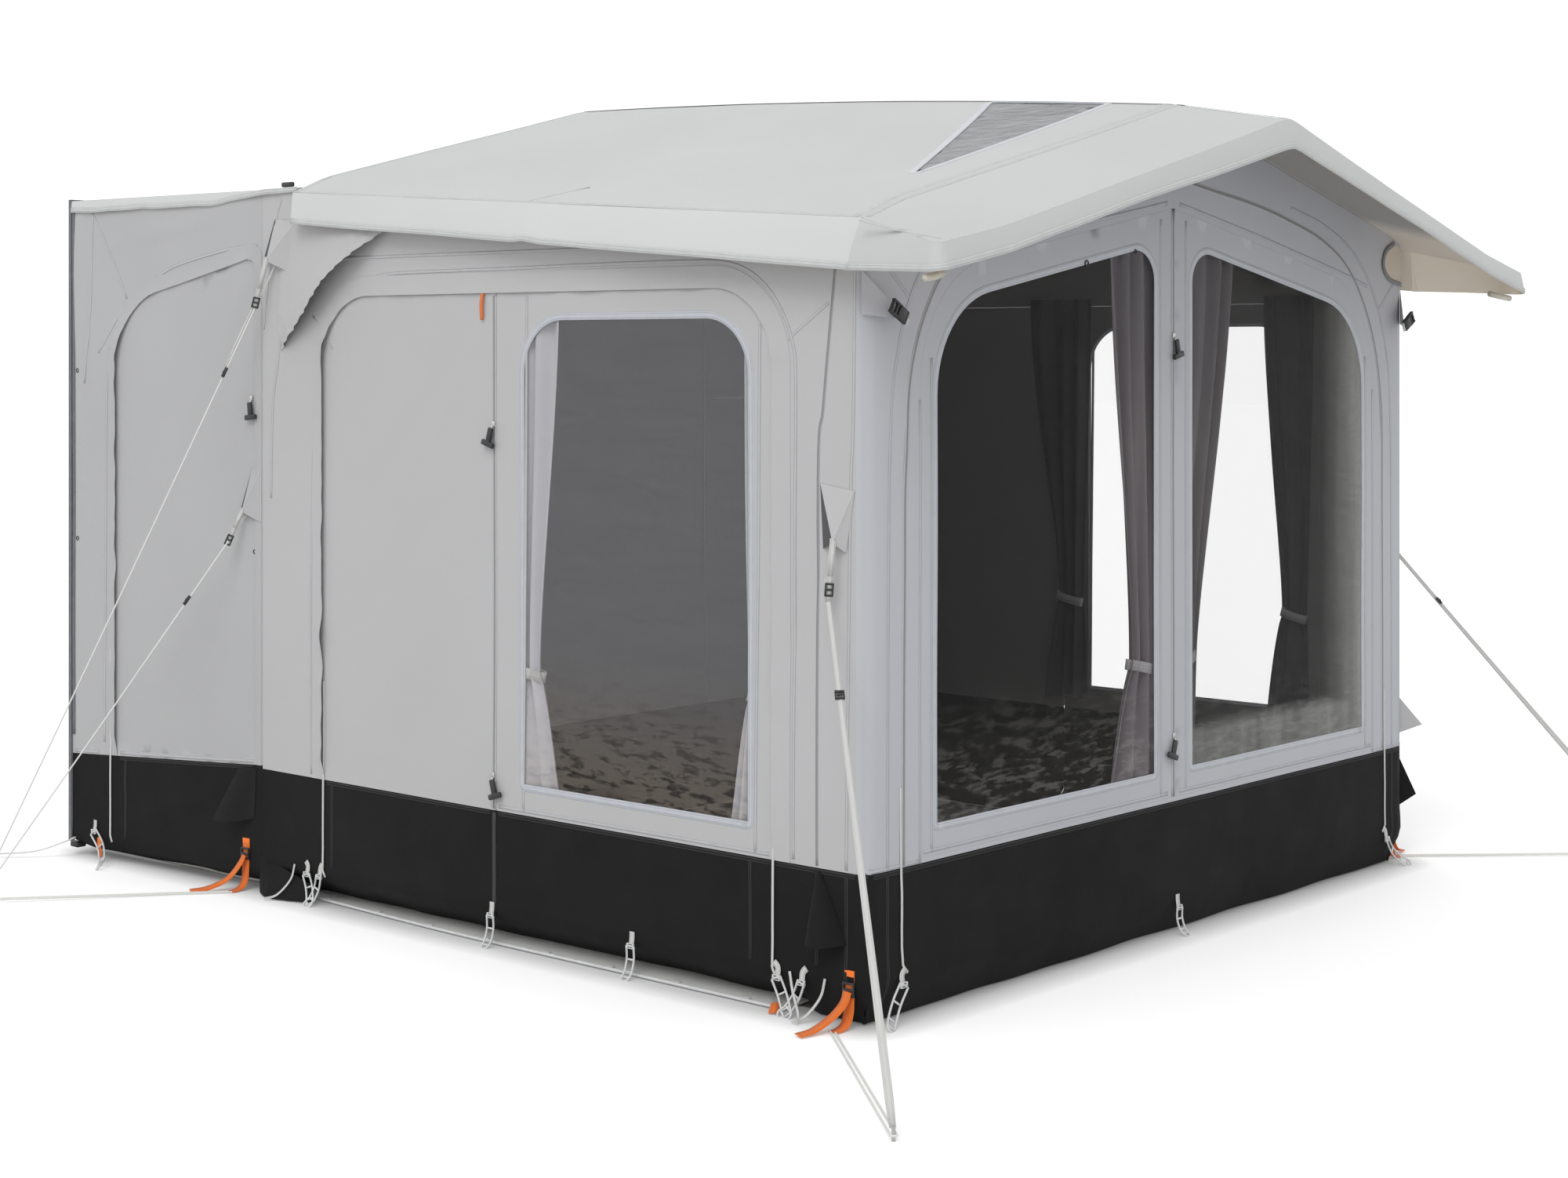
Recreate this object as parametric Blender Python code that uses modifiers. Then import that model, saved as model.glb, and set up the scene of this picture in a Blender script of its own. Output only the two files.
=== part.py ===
"""Inflatable driveaway awning: a gabled cabin with a visor, and a tunnel to the vehicle.

X runs across the front, +Y towards the vehicle, +Z up, in metres. The origin is on the
ground, in the middle of the cabin and its tunnel. A place along Y is first given as its
distance behind the front wall, and back() turns it into a world coordinate.
"""

import math

import bmesh
import bpy
from mathutils import Vector

# Driving dimensions
HALF_WIDTH = 1.300
DEPTH = 2.280
TUNNEL_LENGTH = 0.890
TUNNEL_FLARE = 0.060
TUNNEL_TOP = 2.045
TUNNEL_HEM = 0.045
ORIGIN_BACK = 1.410
MUD_HEIGHT = 0.360
RIDGE_FRONT = 2.242
RIDGE_REAR = 2.365
RIDGE_BOW = 0.020
FOLD_FRONT = 1.885
FOLD_REAR = 2.030
FOLD_OUT = 0.030
SHOULDER_IN = 0.100
SHOULDER_RISE = 0.050
EAVE_SET_BACK = 0.180
VALANCE_REAR = 0.090
VALANCE_FRONT = 0.122
VALANCE_FLARE_REAR = 0.008
VALANCE_FLARE_FRONT = 0.045

VISOR_REACH = 0.360
VISOR_SWEEP = 0.036
VISOR_RIDGE = 2.181
VISOR_FOLD = 1.811
VISOR_SPREAD = 0.140
VISOR_BAND = 0.070
VISOR_FLARE = 0.012
VISOR_TUCK = 0.020
ROOF_LAP = 0.010
SKYLIGHT = ((-0.930, 0.190), (-0.020, 0.600), (-0.020, 0.190))

CLOTH = 0.002
FOIL = 0.0012
GAP = 0.0003
SEAM_GAP = 0.0007
ZIP_GAP = 0.0015
SHEET = 0.0015

CORNER_STRIP = 0.200
SILL_SEAM = 0.012
PANEL_HEADER = 0.130
PANEL_SLOPE = 0.1875
PANEL_RADIUS = 0.320
FRONT_WINDOW_SIDE = 0.055
FRONT_WINDOW_EDGE = 0.065
FRONT_WINDOW_INNER = 0.085
FRONT_WINDOW_R_OUTER = 0.265
FRONT_WINDOW_R_INNER = 0.090

SIDE_ARCH_FRONT = 0.290
SIDE_ARCH_SET_BACK = 0.290
SIDE_HEADER = 0.157
SIDE_ARCH_RADIUS = 0.190
SIDE_ZIP = 1.270
SIDE_WINDOW_START = 0.070
SIDE_WINDOW_STOP = 0.100
SIDE_WINDOW_RAISE = 0.072
SIDE_WINDOW_DROP = 0.063
SIDE_WINDOW_RADIUS = 0.150
WINDOW_SILL_RADIUS = 0.012

TUNNEL_DOOR_START = 0.030
TUNNEL_DOOR_END = 0.668
TUNNEL_DOOR_TOP_START = 1.850
TUNNEL_DOOR_TOP_END = 1.712
TUNNEL_DOOR_RADIUS = 0.240
TUNNEL_DOOR_R_INNER = 0.030
TUNNEL_BAND = 0.035
TUNNEL_DOME = 0.055
GABLE_IN = 0.012
GABLE_LAP = 0.020
GABLE_SET = 0.006
BEADING = 0.014
REAR_WALL_SET = 0.018
REAR_DOOR_HALF = 0.550
REAR_DOOR_TOP = 1.850
REAR_DOOR_RADIUS = 0.200
REAR_WALL_RAISE = 0.004
FLOOR_START = 0.012
FLOOR_STOP = 0.048
FLOOR_IN = 0.010

BEAM_RADIUS = 0.058
BEAM_BEND = 0.160
BEAM_SIDES = 10
BEAM_ROOM = 1.060
STRUT_RADIUS = 0.045
STRUT_DROP = 0.020
STRUT_SEAT_FRONT = 0.00224
STRUT_SEAT_REAR = 0.00060
BROW_RADIUS = 0.010
BROW_HALF = 1.400

CURTAIN_CLOTH = 0.0016
FOLDS = 4
FOLD_DEPTH = 0.030
CURTAIN_HEM = 0.395
CURTAIN_TIE = 0.735
FRONT_CURTAIN_LAP = 0.02375
SIDE_CURTAIN_LAP = 0.024

STRAP_WIDTH = 0.025
STRAP_CLOTH = 0.002
STRAP_FOOT = 0.060
STRAP_BUCKLE = 0.032
STRAP_BUCKLE_DROP = 0.030
STRAP_TOP_FRONT = 0.135
STRAP_TOP_REAR = 0.150
PULLER_THICK = 0.008
PULLER_WIDTH = 0.016

GUY_RADIUS = 0.0015
WEBBING_RADIUS = 0.006
FOOT_RADIUS = 0.002
PEG_RADIUS = 0.004
PEG_HEIGHT = 0.030
SLIDER_LENGTH = 0.034
SLIDER_WALL = 0.006
TUNNEL_STRAP_RISE = 0.060
TUNNEL_STRAP_RUN = (0.260, 0.230)

# Places that follow from the sizes, as distance behind the front wall, or height
EAVE_END = DEPTH - EAVE_SET_BACK
EAVE_CLEAR = 0.006
PANEL_HALF = HALF_WIDTH - CORNER_STRIP
PANEL_SILL = MUD_HEIGHT + SILL_SEAM
PANEL_OUTER_TOP = FOLD_FRONT - PANEL_HEADER
FRONT_WINDOW_OUTER = PANEL_HALF - FRONT_WINDOW_SIDE
FRONT_WINDOW_SILL = PANEL_SILL + FRONT_WINDOW_EDGE
FRONT_WINDOW_TOP = PANEL_OUTER_TOP - FRONT_WINDOW_EDGE
SIDE_ARCH_REAR = DEPTH - SIDE_ARCH_SET_BACK
SIDE_ARCH_TOP = FOLD_FRONT - SIDE_HEADER
SIDE_WINDOW_FRONT = SIDE_ARCH_FRONT + SIDE_WINDOW_START
SIDE_WINDOW_REAR = SIDE_ZIP - SIDE_WINDOW_STOP
SIDE_WINDOW_SILL = MUD_HEIGHT + SIDE_WINDOW_RAISE
SIDE_WINDOW_TOP = SIDE_ARCH_TOP - SIDE_WINDOW_DROP
GUSSET_REAR = DEPTH - 0.090
GUSSET_TOP = FOLD_FRONT + 0.070

# Concave flap at the rear top of each side, as (how far before its rear edge, how far below its top)
GUSSET = ((0.500, 0.000), (0.000, 0.000), (0.000, 0.377), (0.110, 0.315), (0.230, 0.218), (0.350, 0.110))

# Guy lines and straps, as (distance behind the front wall, height)
FRONT_GUY = (0.120, 1.050)
REAR_GUY_UPPER = (DEPTH - 0.065, 1.830)
REAR_GUY_LOWER = (DEPTH + 0.065, 1.100)
FRONT_STRAP = 0.048
REAR_STRAP = DEPTH + 0.070
TUNNEL_STRAP = DEPTH + TUNNEL_LENGTH - 0.020

# Pegs, as (out from the middle, distance behind the front wall)
FRONT_PEG = (HALF_WIDTH + 0.588, -0.556)
REAR_PEG = (HALF_WIDTH + 0.630, DEPTH + 0.480)

# Curtains, as (from, to) at the top, at the tie and at the hem: out from the middle on the front,
# before the zip at the window's rear, and behind the arch at its front
FRONT_CURTAIN = ((0.050, 0.300), (0.085, 0.190), (0.060, 0.300))
REAR_CURTAIN = {
    "left": ((-0.250, -0.030), (-0.100, -0.025), (-0.180, -0.020)),
    "right": ((-0.080, 0.140), (-0.064, 0.011), (-0.080, 0.080)),
}
SIDE_CURTAIN = ((0.020, 0.200), (0.040, 0.120), (0.030, 0.180))

# Colours
GREY = (0.56, 0.56, 0.57)
ROOF = (0.80, 0.81, 0.80)
BLACK = (0.022, 0.023, 0.025)
CURTAIN = (0.42, 0.41, 0.43)
CLEAR = (0.75, 0.80, 0.84)
BEAM = (0.10, 0.10, 0.11)
FLOOR = (0.13, 0.12, 0.11)
ORANGE = (0.90, 0.22, 0.03)
WHITE = (0.82, 0.82, 0.80)
STEEL = (0.62, 0.62, 0.60)


def back(distance):
    """World Y of a place this far behind the front wall."""
    return distance - ORIGIN_BACK


def blend(a, b, t):
    return a + (b - a) * t


def clear_scene():
    for item in list(bpy.data.objects):
        bpy.data.objects.remove(item, do_unlink=True)


def material(name, colour, roughness=0.85, metallic=0.0, alpha=1.0):
    found = bpy.data.materials.new(name)
    found.use_nodes = True
    shader = found.node_tree.nodes["Principled BSDF"]
    shader.inputs["Base Color"].default_value = (*colour, 1.0)
    shader.inputs["Roughness"].default_value = roughness
    shader.inputs["Metallic"].default_value = metallic
    shader.inputs["Alpha"].default_value = alpha
    return found


def link(item, colour, roughness=0.85, metallic=0.0, alpha=1.0, home="awning"):
    found = bpy.data.collections.get(home)
    if found is None:
        found = bpy.data.collections.new(home)
        bpy.context.scene.collection.children.link(found)
    found.objects.link(item)
    item.data.materials.append(material(item.name, colour, roughness, metallic, alpha))
    return item


# Outlines

def rounded(corners):
    """Outline through (x, y, radius) corners, each corner an arc of short chords."""
    points = []
    count = len(corners)
    for i, (x, y, radius) in enumerate(corners):
        here = Vector((x, y))
        before = Vector(corners[i - 1][:2]) - here
        after = Vector(corners[(i + 1) % count][:2]) - here
        if radius <= 0.0:
            points.append((x, y))
            continue
        before.normalize()
        after.normalize()
        half = before.angle(after) / 2.0
        reach = radius / math.tan(half)
        centre = here + (before + after).normalized() * (radius / math.sin(half))
        start = here + before * reach - centre
        turn = math.pi - 2.0 * half
        if before.x * after.y - before.y * after.x > 0.0:
            turn = -turn
        steps = max(3, round(abs(turn) / 0.20))
        for k in range(steps + 1):
            a = turn * k / steps
            c = math.cos(a)
            s = math.sin(a)
            points.append((centre.x + start.x * c - start.y * s, centre.y + start.x * s + start.y * c))
    return points


def flat_piece(name, outlines, thickness, origin, heading, colour, **look):
    """Upright flat piece: outlines hold (along the heading, height) from the origin."""
    data = bpy.data.curves.new(name, "CURVE")
    data.dimensions = "2D"
    data.fill_mode = "BOTH"
    data.extrude = thickness / 2.0
    for outline in outlines:
        spline = data.splines.new("POLY")
        spline.points.add(len(outline) - 1)
        spline.use_cyclic_u = True
        for point, (x, y) in zip(spline.points, outline):
            point.co = (x, y, 0.0, 1.0)
    item = bpy.data.objects.new(name, data)
    item.location = origin
    item.rotation_euler = (math.pi / 2.0, 0.0, heading)
    return link(item, colour, **look)


def sheet(name, across, along, place, thickness, colour, offset=-1.0, **look):
    """Cloth sheet: a grid whose points place(u, v) sets, thickened on one side."""
    mesh = bpy.data.meshes.new(name)
    shape = bmesh.new()
    bmesh.ops.create_grid(shape, x_segments=across, y_segments=along, size=0.5)
    for vertex in shape.verts:
        vertex.co = Vector(place(vertex.co.x + 0.5, vertex.co.y + 0.5))
    shape.to_mesh(mesh)
    shape.free()
    mesh.shade_smooth()
    item = bpy.data.objects.new(name, mesh)
    thicken = item.modifiers.new("cloth", "SOLIDIFY")
    thicken.thickness = thickness
    thicken.offset = offset
    thicken.use_even_offset = False
    return link(item, colour, **look)


def tube(name, points, radius, colour, detail=2, cyclic=False, **look):
    data = bpy.data.curves.new(name, "CURVE")
    data.dimensions = "3D"
    data.bevel_depth = radius
    data.bevel_resolution = detail
    data.use_fill_caps = True
    spline = data.splines.new("POLY")
    spline.points.add(len(points) - 1)
    spline.use_cyclic_u = cyclic
    for point, place in zip(spline.points, points):
        point.co = (*place, 1.0)
    item = bpy.data.objects.new(name, data)
    return link(item, colour, **look)


def block(name, size, place, heading, colour, **look):
    mesh = bpy.data.meshes.new(name)
    shape = bmesh.new()
    bmesh.ops.create_cube(shape, size=1.0)
    for vertex in shape.verts:
        vertex.co = Vector((vertex.co.x * size[0], vertex.co.y * size[1], vertex.co.z * size[2]))
    shape.to_mesh(mesh)
    shape.free()
    item = bpy.data.objects.new(name, mesh)
    item.location = place
    item.rotation_euler = (0.0, 0.0, heading)
    return link(item, colour, **look)


def solid_cut(item, cutter, operation):
    """Boolean of a thickened sheet with an upright prism; the prism is kept as a hidden guide."""
    change = item.modifiers.new("cut", "BOOLEAN")
    change.operation = operation
    change.solver = "EXACT"
    change.object = cutter


def straight(start, end, steps):
    a = Vector(start)
    b = Vector(end)
    return [a.lerp(b, k / steps) for k in range(steps + 1)]


def filleted(corners, radius, steps):
    """Polyline through the corners with each inner corner rounded."""
    points = [Vector(corners[0])]
    for i in range(1, len(corners) - 1):
        here = Vector(corners[i])
        before = (Vector(corners[i - 1]) - here).normalized()
        after = (Vector(corners[i + 1]) - here).normalized()
        half = before.angle(after) / 2.0
        reach = radius / math.tan(half)
        for k in range(steps + 1):
            t = k / steps
            a = here + before * reach
            b = here + after * reach
            points.append(a.lerp(here, t).lerp(here.lerp(b, t), t))
    points.append(Vector(corners[-1]))
    return points


# Roof

FOLD_X = HALF_WIDTH + FOLD_OUT
SHOULDER_X = HALF_WIDTH - SHOULDER_IN


def fold_height(distance):
    return blend(FOLD_FRONT, FOLD_REAR, distance / EAVE_END)


def ridge_height(distance):
    t = distance / DEPTH
    return blend(RIDGE_FRONT, RIDGE_REAR, t) + 4.0 * RIDGE_BOW * t * (1.0 - t)


def roof_height(out, distance):
    """Top of the roof cloth this far from the middle."""
    fold = fold_height(distance)
    shoulder = fold + SHOULDER_RISE
    if out < SHOULDER_X:
        return blend(ridge_height(distance), shoulder, out / SHOULDER_X)
    return blend(shoulder, fold, (out - SHOULDER_X) / (FOLD_X - SHOULDER_X))


def roof_under(out, distance):
    return roof_height(out, distance) - CLOTH * 1.25 - GAP


def roof_end(out):
    """Distance back of the roof's rear edge, which sweeps back towards the ridge."""
    return blend(DEPTH, EAVE_END, min(out / FOLD_X, 1.0))


SLOPE_STEPS = 6
VALANCE_STEPS = 2
HALF_STEPS = SLOPE_STEPS + 1 + VALANCE_STEPS


def cross_station(u):
    """(side, step) of a grid column: step 0 is the ridge, the last is the valance's hem."""
    column = round(u * 2 * HALF_STEPS) - HALF_STEPS
    return (-1.0 if column < 0 else 1.0), abs(column)


def canopy_point(side, step, distance, ridge, fold, fold_x, shoulder, hem_drop, hem_out):
    if step <= SLOPE_STEPS:
        t = step / SLOPE_STEPS
        out = SHOULDER_X * t
        height = blend(ridge, shoulder, t)
    elif step == SLOPE_STEPS + 1:
        out = fold_x
        height = fold
    else:
        t = (step - SLOPE_STEPS - 1) / VALANCE_STEPS
        out = fold_x + hem_out * t
        height = fold - hem_drop * t
    return side * out, distance, height


def roof_place(u, v):
    side, step = cross_station(u)
    out = min(step / SLOPE_STEPS, 1.0) * SHOULDER_X if step <= SLOPE_STEPS else FOLD_X
    distance = blend(-ROOF_LAP, roof_end(out), v)
    t = max(distance, 0.0) / EAVE_END
    drop = blend(VALANCE_FRONT, VALANCE_REAR, t)
    flare = blend(VALANCE_FLARE_FRONT, VALANCE_FLARE_REAR, t)
    fold = fold_height(distance)
    x, y, z = canopy_point(
        side, step, distance, ridge_height(distance), fold, FOLD_X, fold + SHOULDER_RISE, drop, flare
    )
    return x, back(y), z


VISOR_ROWS = 5
BAND_ROWS = 2


def visor_place(u, v):
    side, step = cross_station(u)
    row = round(v * (VISOR_ROWS + BAND_ROWS))
    reach = 1.0 - min(max(row - BAND_ROWS, 0) / VISOR_ROWS, 1.0)
    band = max(BAND_ROWS - row, 0) / BAND_ROWS
    start = -ROOF_LAP - SEAM_GAP
    fold_x = FOLD_X + (VISOR_SPREAD - VISOR_TUCK) * reach
    out = min(step / SLOPE_STEPS, 1.0) * SHOULDER_X if step <= SLOPE_STEPS else fold_x
    front = -VISOR_REACH + VISOR_SWEEP * min(out / FOLD_X, 1.0)
    distance = blend(start, front, reach)
    ridge = blend(RIDGE_FRONT, VISOR_RIDGE, reach)
    fold = blend(fold_height(start), VISOR_FOLD, reach)
    shoulder = fold + SHOULDER_RISE
    drop = blend(VALANCE_FRONT, VISOR_BAND, reach)
    flare = blend(VALANCE_FLARE_FRONT, VISOR_FLARE, reach)
    x, y, z = canopy_point(side, step, distance, ridge, fold, fold_x, shoulder, drop, flare)
    if band > 0.0:
        hanging = max(step - SLOPE_STEPS - 1, 0) / VALANCE_STEPS
        z -= VISOR_BAND * max(band - hanging, 0.0)
        y -= VISOR_FLARE * band
    return x, back(y), z


def skylight_outline(inset):
    """Triangle of the roof light, from above: two points near the ridge and one out on the slope."""
    corners = [Vector(corner) for corner in SKYLIGHT]
    middle = sum(corners, Vector((0.0, 0.0))) / 3.0
    points = []
    for p in corners:
        q = p + (middle - p).normalized() * inset
        points.append((q.x, back(q.y)))
    return points


def skylight_prism(name, inset):
    data = bpy.data.curves.new(name, "CURVE")
    data.dimensions = "2D"
    data.fill_mode = "BOTH"
    data.extrude = 0.4
    spline = data.splines.new("POLY")
    outline = skylight_outline(inset)
    spline.points.add(len(outline) - 1)
    spline.use_cyclic_u = True
    for point, (x, y) in zip(spline.points, outline):
        point.co = (x, y, 0.0, 1.0)
    curve = bpy.data.objects.new(name + "_outline", data)
    curve.location = (0.0, 0.0, 2.15)
    bpy.context.scene.collection.objects.link(curve)
    bpy.context.view_layer.update()
    graph = bpy.context.evaluated_depsgraph_get()
    mesh = bpy.data.meshes.new_from_object(curve.evaluated_get(graph))
    shape = bmesh.new()
    shape.from_mesh(mesh)
    bmesh.ops.remove_doubles(shape, verts=shape.verts, dist=0.0001)
    bmesh.ops.recalc_face_normals(shape, faces=shape.faces)
    shape.to_mesh(mesh)
    shape.free()
    item = bpy.data.objects.new(name, mesh)
    item.matrix_world = curve.matrix_world
    bpy.data.objects.remove(curve, do_unlink=True)
    item.hide_render = True
    item.display_type = "WIRE"
    found = bpy.data.collections.get("guides")
    if found is None:
        found = bpy.data.collections.new("guides")
        bpy.context.scene.collection.children.link(found)
    found.objects.link(item)
    return item


ROOF_ROWS = 10


def make_roof():
    columns = 2 * HALF_STEPS
    hole = skylight_prism("skylight_hole", 0.0)
    light = skylight_prism("skylight_shape", 0.002)
    roof = sheet("roof_canopy", columns, ROOF_ROWS, roof_place, CLOTH, ROOF)
    solid_cut(roof, hole, "DIFFERENCE")
    foil = sheet("skylight_foil", columns, ROOF_ROWS, roof_place, CLOTH, CLEAR, roughness=0.1, alpha=0.4)
    solid_cut(foil, light, "INTERSECT")
    sheet("visor_canopy", columns, VISOR_ROWS + BAND_ROWS, visor_place, CLOTH, ROOF)


# Walls

def roof_line(limit, distance):
    """Points along the underside of the roof, from -limit to +limit."""
    outs = [SHOULDER_X * k / SLOPE_STEPS for k in range(SLOPE_STEPS + 1)]
    outs = [out for out in outs if out < limit] + [limit]
    right = [(out, roof_under(out, distance)) for out in outs]
    left = [(-out, height) for out, height in reversed(right[1:])]
    return left + right


def panel_top(x):
    return PANEL_OUTER_TOP + PANEL_SLOPE * (PANEL_HALF - x)


def front_hole():
    grow = GAP
    edge = PANEL_HALF + grow
    corner = (edge, PANEL_OUTER_TOP + grow, PANEL_RADIUS + grow)
    return rounded([
        (-edge, PANEL_SILL - grow, 0.0),
        (-corner[0], corner[1], corner[2]),
        (0.0, panel_top(0.0) + grow, 0.0),
        corner,
        (edge, PANEL_SILL - grow, 0.0),
    ])


def make_front():
    edge = HALF_WIDTH + CLOTH / 2.0
    top = roof_line(edge, 0.0)
    outline = [(edge, MUD_HEIGHT + GAP), (-edge, MUD_HEIGHT + GAP)] + top
    flat_piece("wall_front", [outline, front_hole()], CLOTH, (0.0, back(0.0), 0.0), 0.0, GREY)
    for side, tag in ((-1.0, "left"), (1.0, "right")):
        hinge = side * PANEL_HALF
        face = back(0.0) - CLOTH / 2.0

        def local(corners):
            return rounded([(side * x - hinge, z, r) for x, z, r in corners])

        inner = ZIP_GAP
        panel = local([
            (PANEL_HALF, PANEL_SILL, 0.0),
            (PANEL_HALF, PANEL_OUTER_TOP, PANEL_RADIUS),
            (inner, panel_top(inner), 0.010),
            (inner, PANEL_SILL, 0.0),
        ])

        def window(shrink):
            slope = FRONT_WINDOW_OUTER - FRONT_WINDOW_INNER
            return local([
                (FRONT_WINDOW_OUTER - shrink, FRONT_WINDOW_SILL + shrink, WINDOW_SILL_RADIUS),
                (FRONT_WINDOW_OUTER - shrink, FRONT_WINDOW_TOP - shrink, FRONT_WINDOW_R_OUTER),
                (FRONT_WINDOW_INNER + shrink, FRONT_WINDOW_TOP + PANEL_SLOPE * slope - shrink,
                 FRONT_WINDOW_R_INNER),
                (FRONT_WINDOW_INNER + shrink, FRONT_WINDOW_SILL + shrink, WINDOW_SILL_RADIUS),
            ])

        place = (hinge, face, 0.0)
        panel_item = flat_piece(
            "front_panel_" + tag, [panel, window(0.0)], CLOTH, place, 0.0, GREY
        )
        foil_item = flat_piece(
            "window_foil_front_" + tag, [window(GAP)], FOIL, place, 0.0, CLEAR,
            roughness=0.08, alpha=0.35,
        )
        for item in (panel_item, foil_item):
            item.delta_location = (0.0, CLOTH / 2.0, 0.0)


def mud_front_place(u, v):
    """Mud wall across the front, round both corners and a little way along the sides."""
    leg = SIDE_ARCH_FRONT - GAP
    face = CLOTH / 2.0
    x = HALF_WIDTH + face
    corners = [(-x, leg, 0.0), (-x, -face, 0.0), (x, -face, 0.0), (x, leg, 0.0)]
    path = filleted(corners, 0.030, 4)
    point = path[min(round(u * (len(path) - 1)), len(path) - 1)]
    return point.x, back(point.y), MUD_HEIGHT * v


def make_mud_wall():
    steps = 2 * 5 + 2 - 1
    sheet("mud_wall_front", steps, 2, mud_front_place, CLOTH, BLACK)


def side_arch(grow):
    return [
        (SIDE_ARCH_FRONT - grow, SIDE_ARCH_TOP + grow, SIDE_ARCH_RADIUS + grow),
        (SIDE_ARCH_REAR + grow, SIDE_ARCH_TOP + grow, SIDE_ARCH_RADIUS + grow),
    ]


def side_window(shrink):
    radius = SIDE_WINDOW_RADIUS
    return [
        (SIDE_WINDOW_FRONT + shrink, SIDE_WINDOW_SILL + shrink, WINDOW_SILL_RADIUS),
        (SIDE_WINDOW_FRONT + shrink, SIDE_WINDOW_TOP - shrink, radius),
        (SIDE_WINDOW_REAR - shrink, SIDE_WINDOW_TOP - shrink, radius),
        (SIDE_WINDOW_REAR - shrink, SIDE_WINDOW_SILL + shrink, WINDOW_SILL_RADIUS),
    ]


def shifted(corners, start):
    return rounded([(s - start, z, r) for s, z, r in corners])


def make_side(side, tag):
    wall_x = side * HALF_WIDTH
    face_x = side * (HALF_WIDTH + CLOTH / 2.0)
    inward = -side * CLOTH / 2.0
    along = math.pi / 2.0
    near = CLOTH / 2.0 + GAP
    front_top = roof_under(HALF_WIDTH + CLOTH / 2.0, near)
    rear_top = roof_under(HALF_WIDTH + CLOTH / 2.0, EAVE_END)
    tunnel_top = TUNNEL_TOP - CLOTH - GAP
    arch = side_arch(GAP)
    outline = rounded([
        (near, MUD_HEIGHT + GAP, 0.0),
        (near, front_top, 0.0),
        (EAVE_END, rear_top, 0.0),
        (EAVE_END + EAVE_CLEAR, rear_top, 0.0),
        (EAVE_END + EAVE_CLEAR, tunnel_top, 0.0),
        (DEPTH - GAP, tunnel_top, 0.0),
        (DEPTH - GAP, 0.0, 0.0),
        (SIDE_ARCH_REAR + GAP, 0.0, 0.0),
        arch[1],
        arch[0],
        (SIDE_ARCH_FRONT - GAP, MUD_HEIGHT + GAP, 0.0),
    ])
    flat_piece("wall_" + tag, [outline], CLOTH, (wall_x, back(0.0), 0.0), along, GREY)

    corner = side_arch(0.0)
    door = shifted([
        (SIDE_ZIP + ZIP_GAP, 0.0, 0.0),
        (SIDE_ZIP + ZIP_GAP, SIDE_ARCH_TOP, 0.0),
        corner[1],
        (SIDE_ARCH_REAR, 0.0, 0.0),
    ], SIDE_ARCH_REAR)
    door_item = flat_piece(
        "door_panel_" + tag, [door], CLOTH, (face_x, back(SIDE_ARCH_REAR), 0.0), along, GREY
    )
    panel = shifted([
        (SIDE_ARCH_FRONT, 0.0, 0.0),
        corner[0],
        (SIDE_ZIP - ZIP_GAP, SIDE_ARCH_TOP, 0.0),
        (SIDE_ZIP - ZIP_GAP, 0.0, 0.0),
    ], SIDE_ARCH_FRONT)
    place = (face_x, back(SIDE_ARCH_FRONT), 0.0)
    panel_item = flat_piece(
        "window_panel_" + tag, [panel, shifted(side_window(0.0), SIDE_ARCH_FRONT)],
        CLOTH, place, along, GREY,
    )
    foil_item = flat_piece(
        "window_foil_" + tag, [shifted(side_window(GAP), SIDE_ARCH_FRONT)],
        FOIL, place, along, CLEAR, roughness=0.08, alpha=0.35,
    )
    for item in (door_item, panel_item, foil_item):
        item.delta_location = (inward, 0.0, 0.0)

    offset = side * (HALF_WIDTH + CLOTH / 2.0 + GAP + SHEET / 2.0)
    gusset = [(GUSSET_REAR - before, GUSSET_TOP - below) for before, below in GUSSET]
    flat_piece("gusset_flap_" + tag, [gusset], SHEET, (offset, back(0.0), 0.0), along, GREY)


# Tunnel

TUNNEL_SLANT = math.hypot(TUNNEL_FLARE, TUNNEL_LENGTH)


def tunnel_x(distance):
    return HALF_WIDTH + TUNNEL_FLARE * max(distance - DEPTH, 0.0) / TUNNEL_LENGTH


def tunnel_heading(side):
    return math.atan2(TUNNEL_LENGTH, side * TUNNEL_FLARE)


def tunnel_door(grow):
    return [
        (TUNNEL_DOOR_START - grow, TUNNEL_DOOR_TOP_START + grow, TUNNEL_DOOR_R_INNER),
        (TUNNEL_DOOR_END + grow, TUNNEL_DOOR_TOP_END + grow, TUNNEL_DOOR_RADIUS + grow),
    ]


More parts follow.
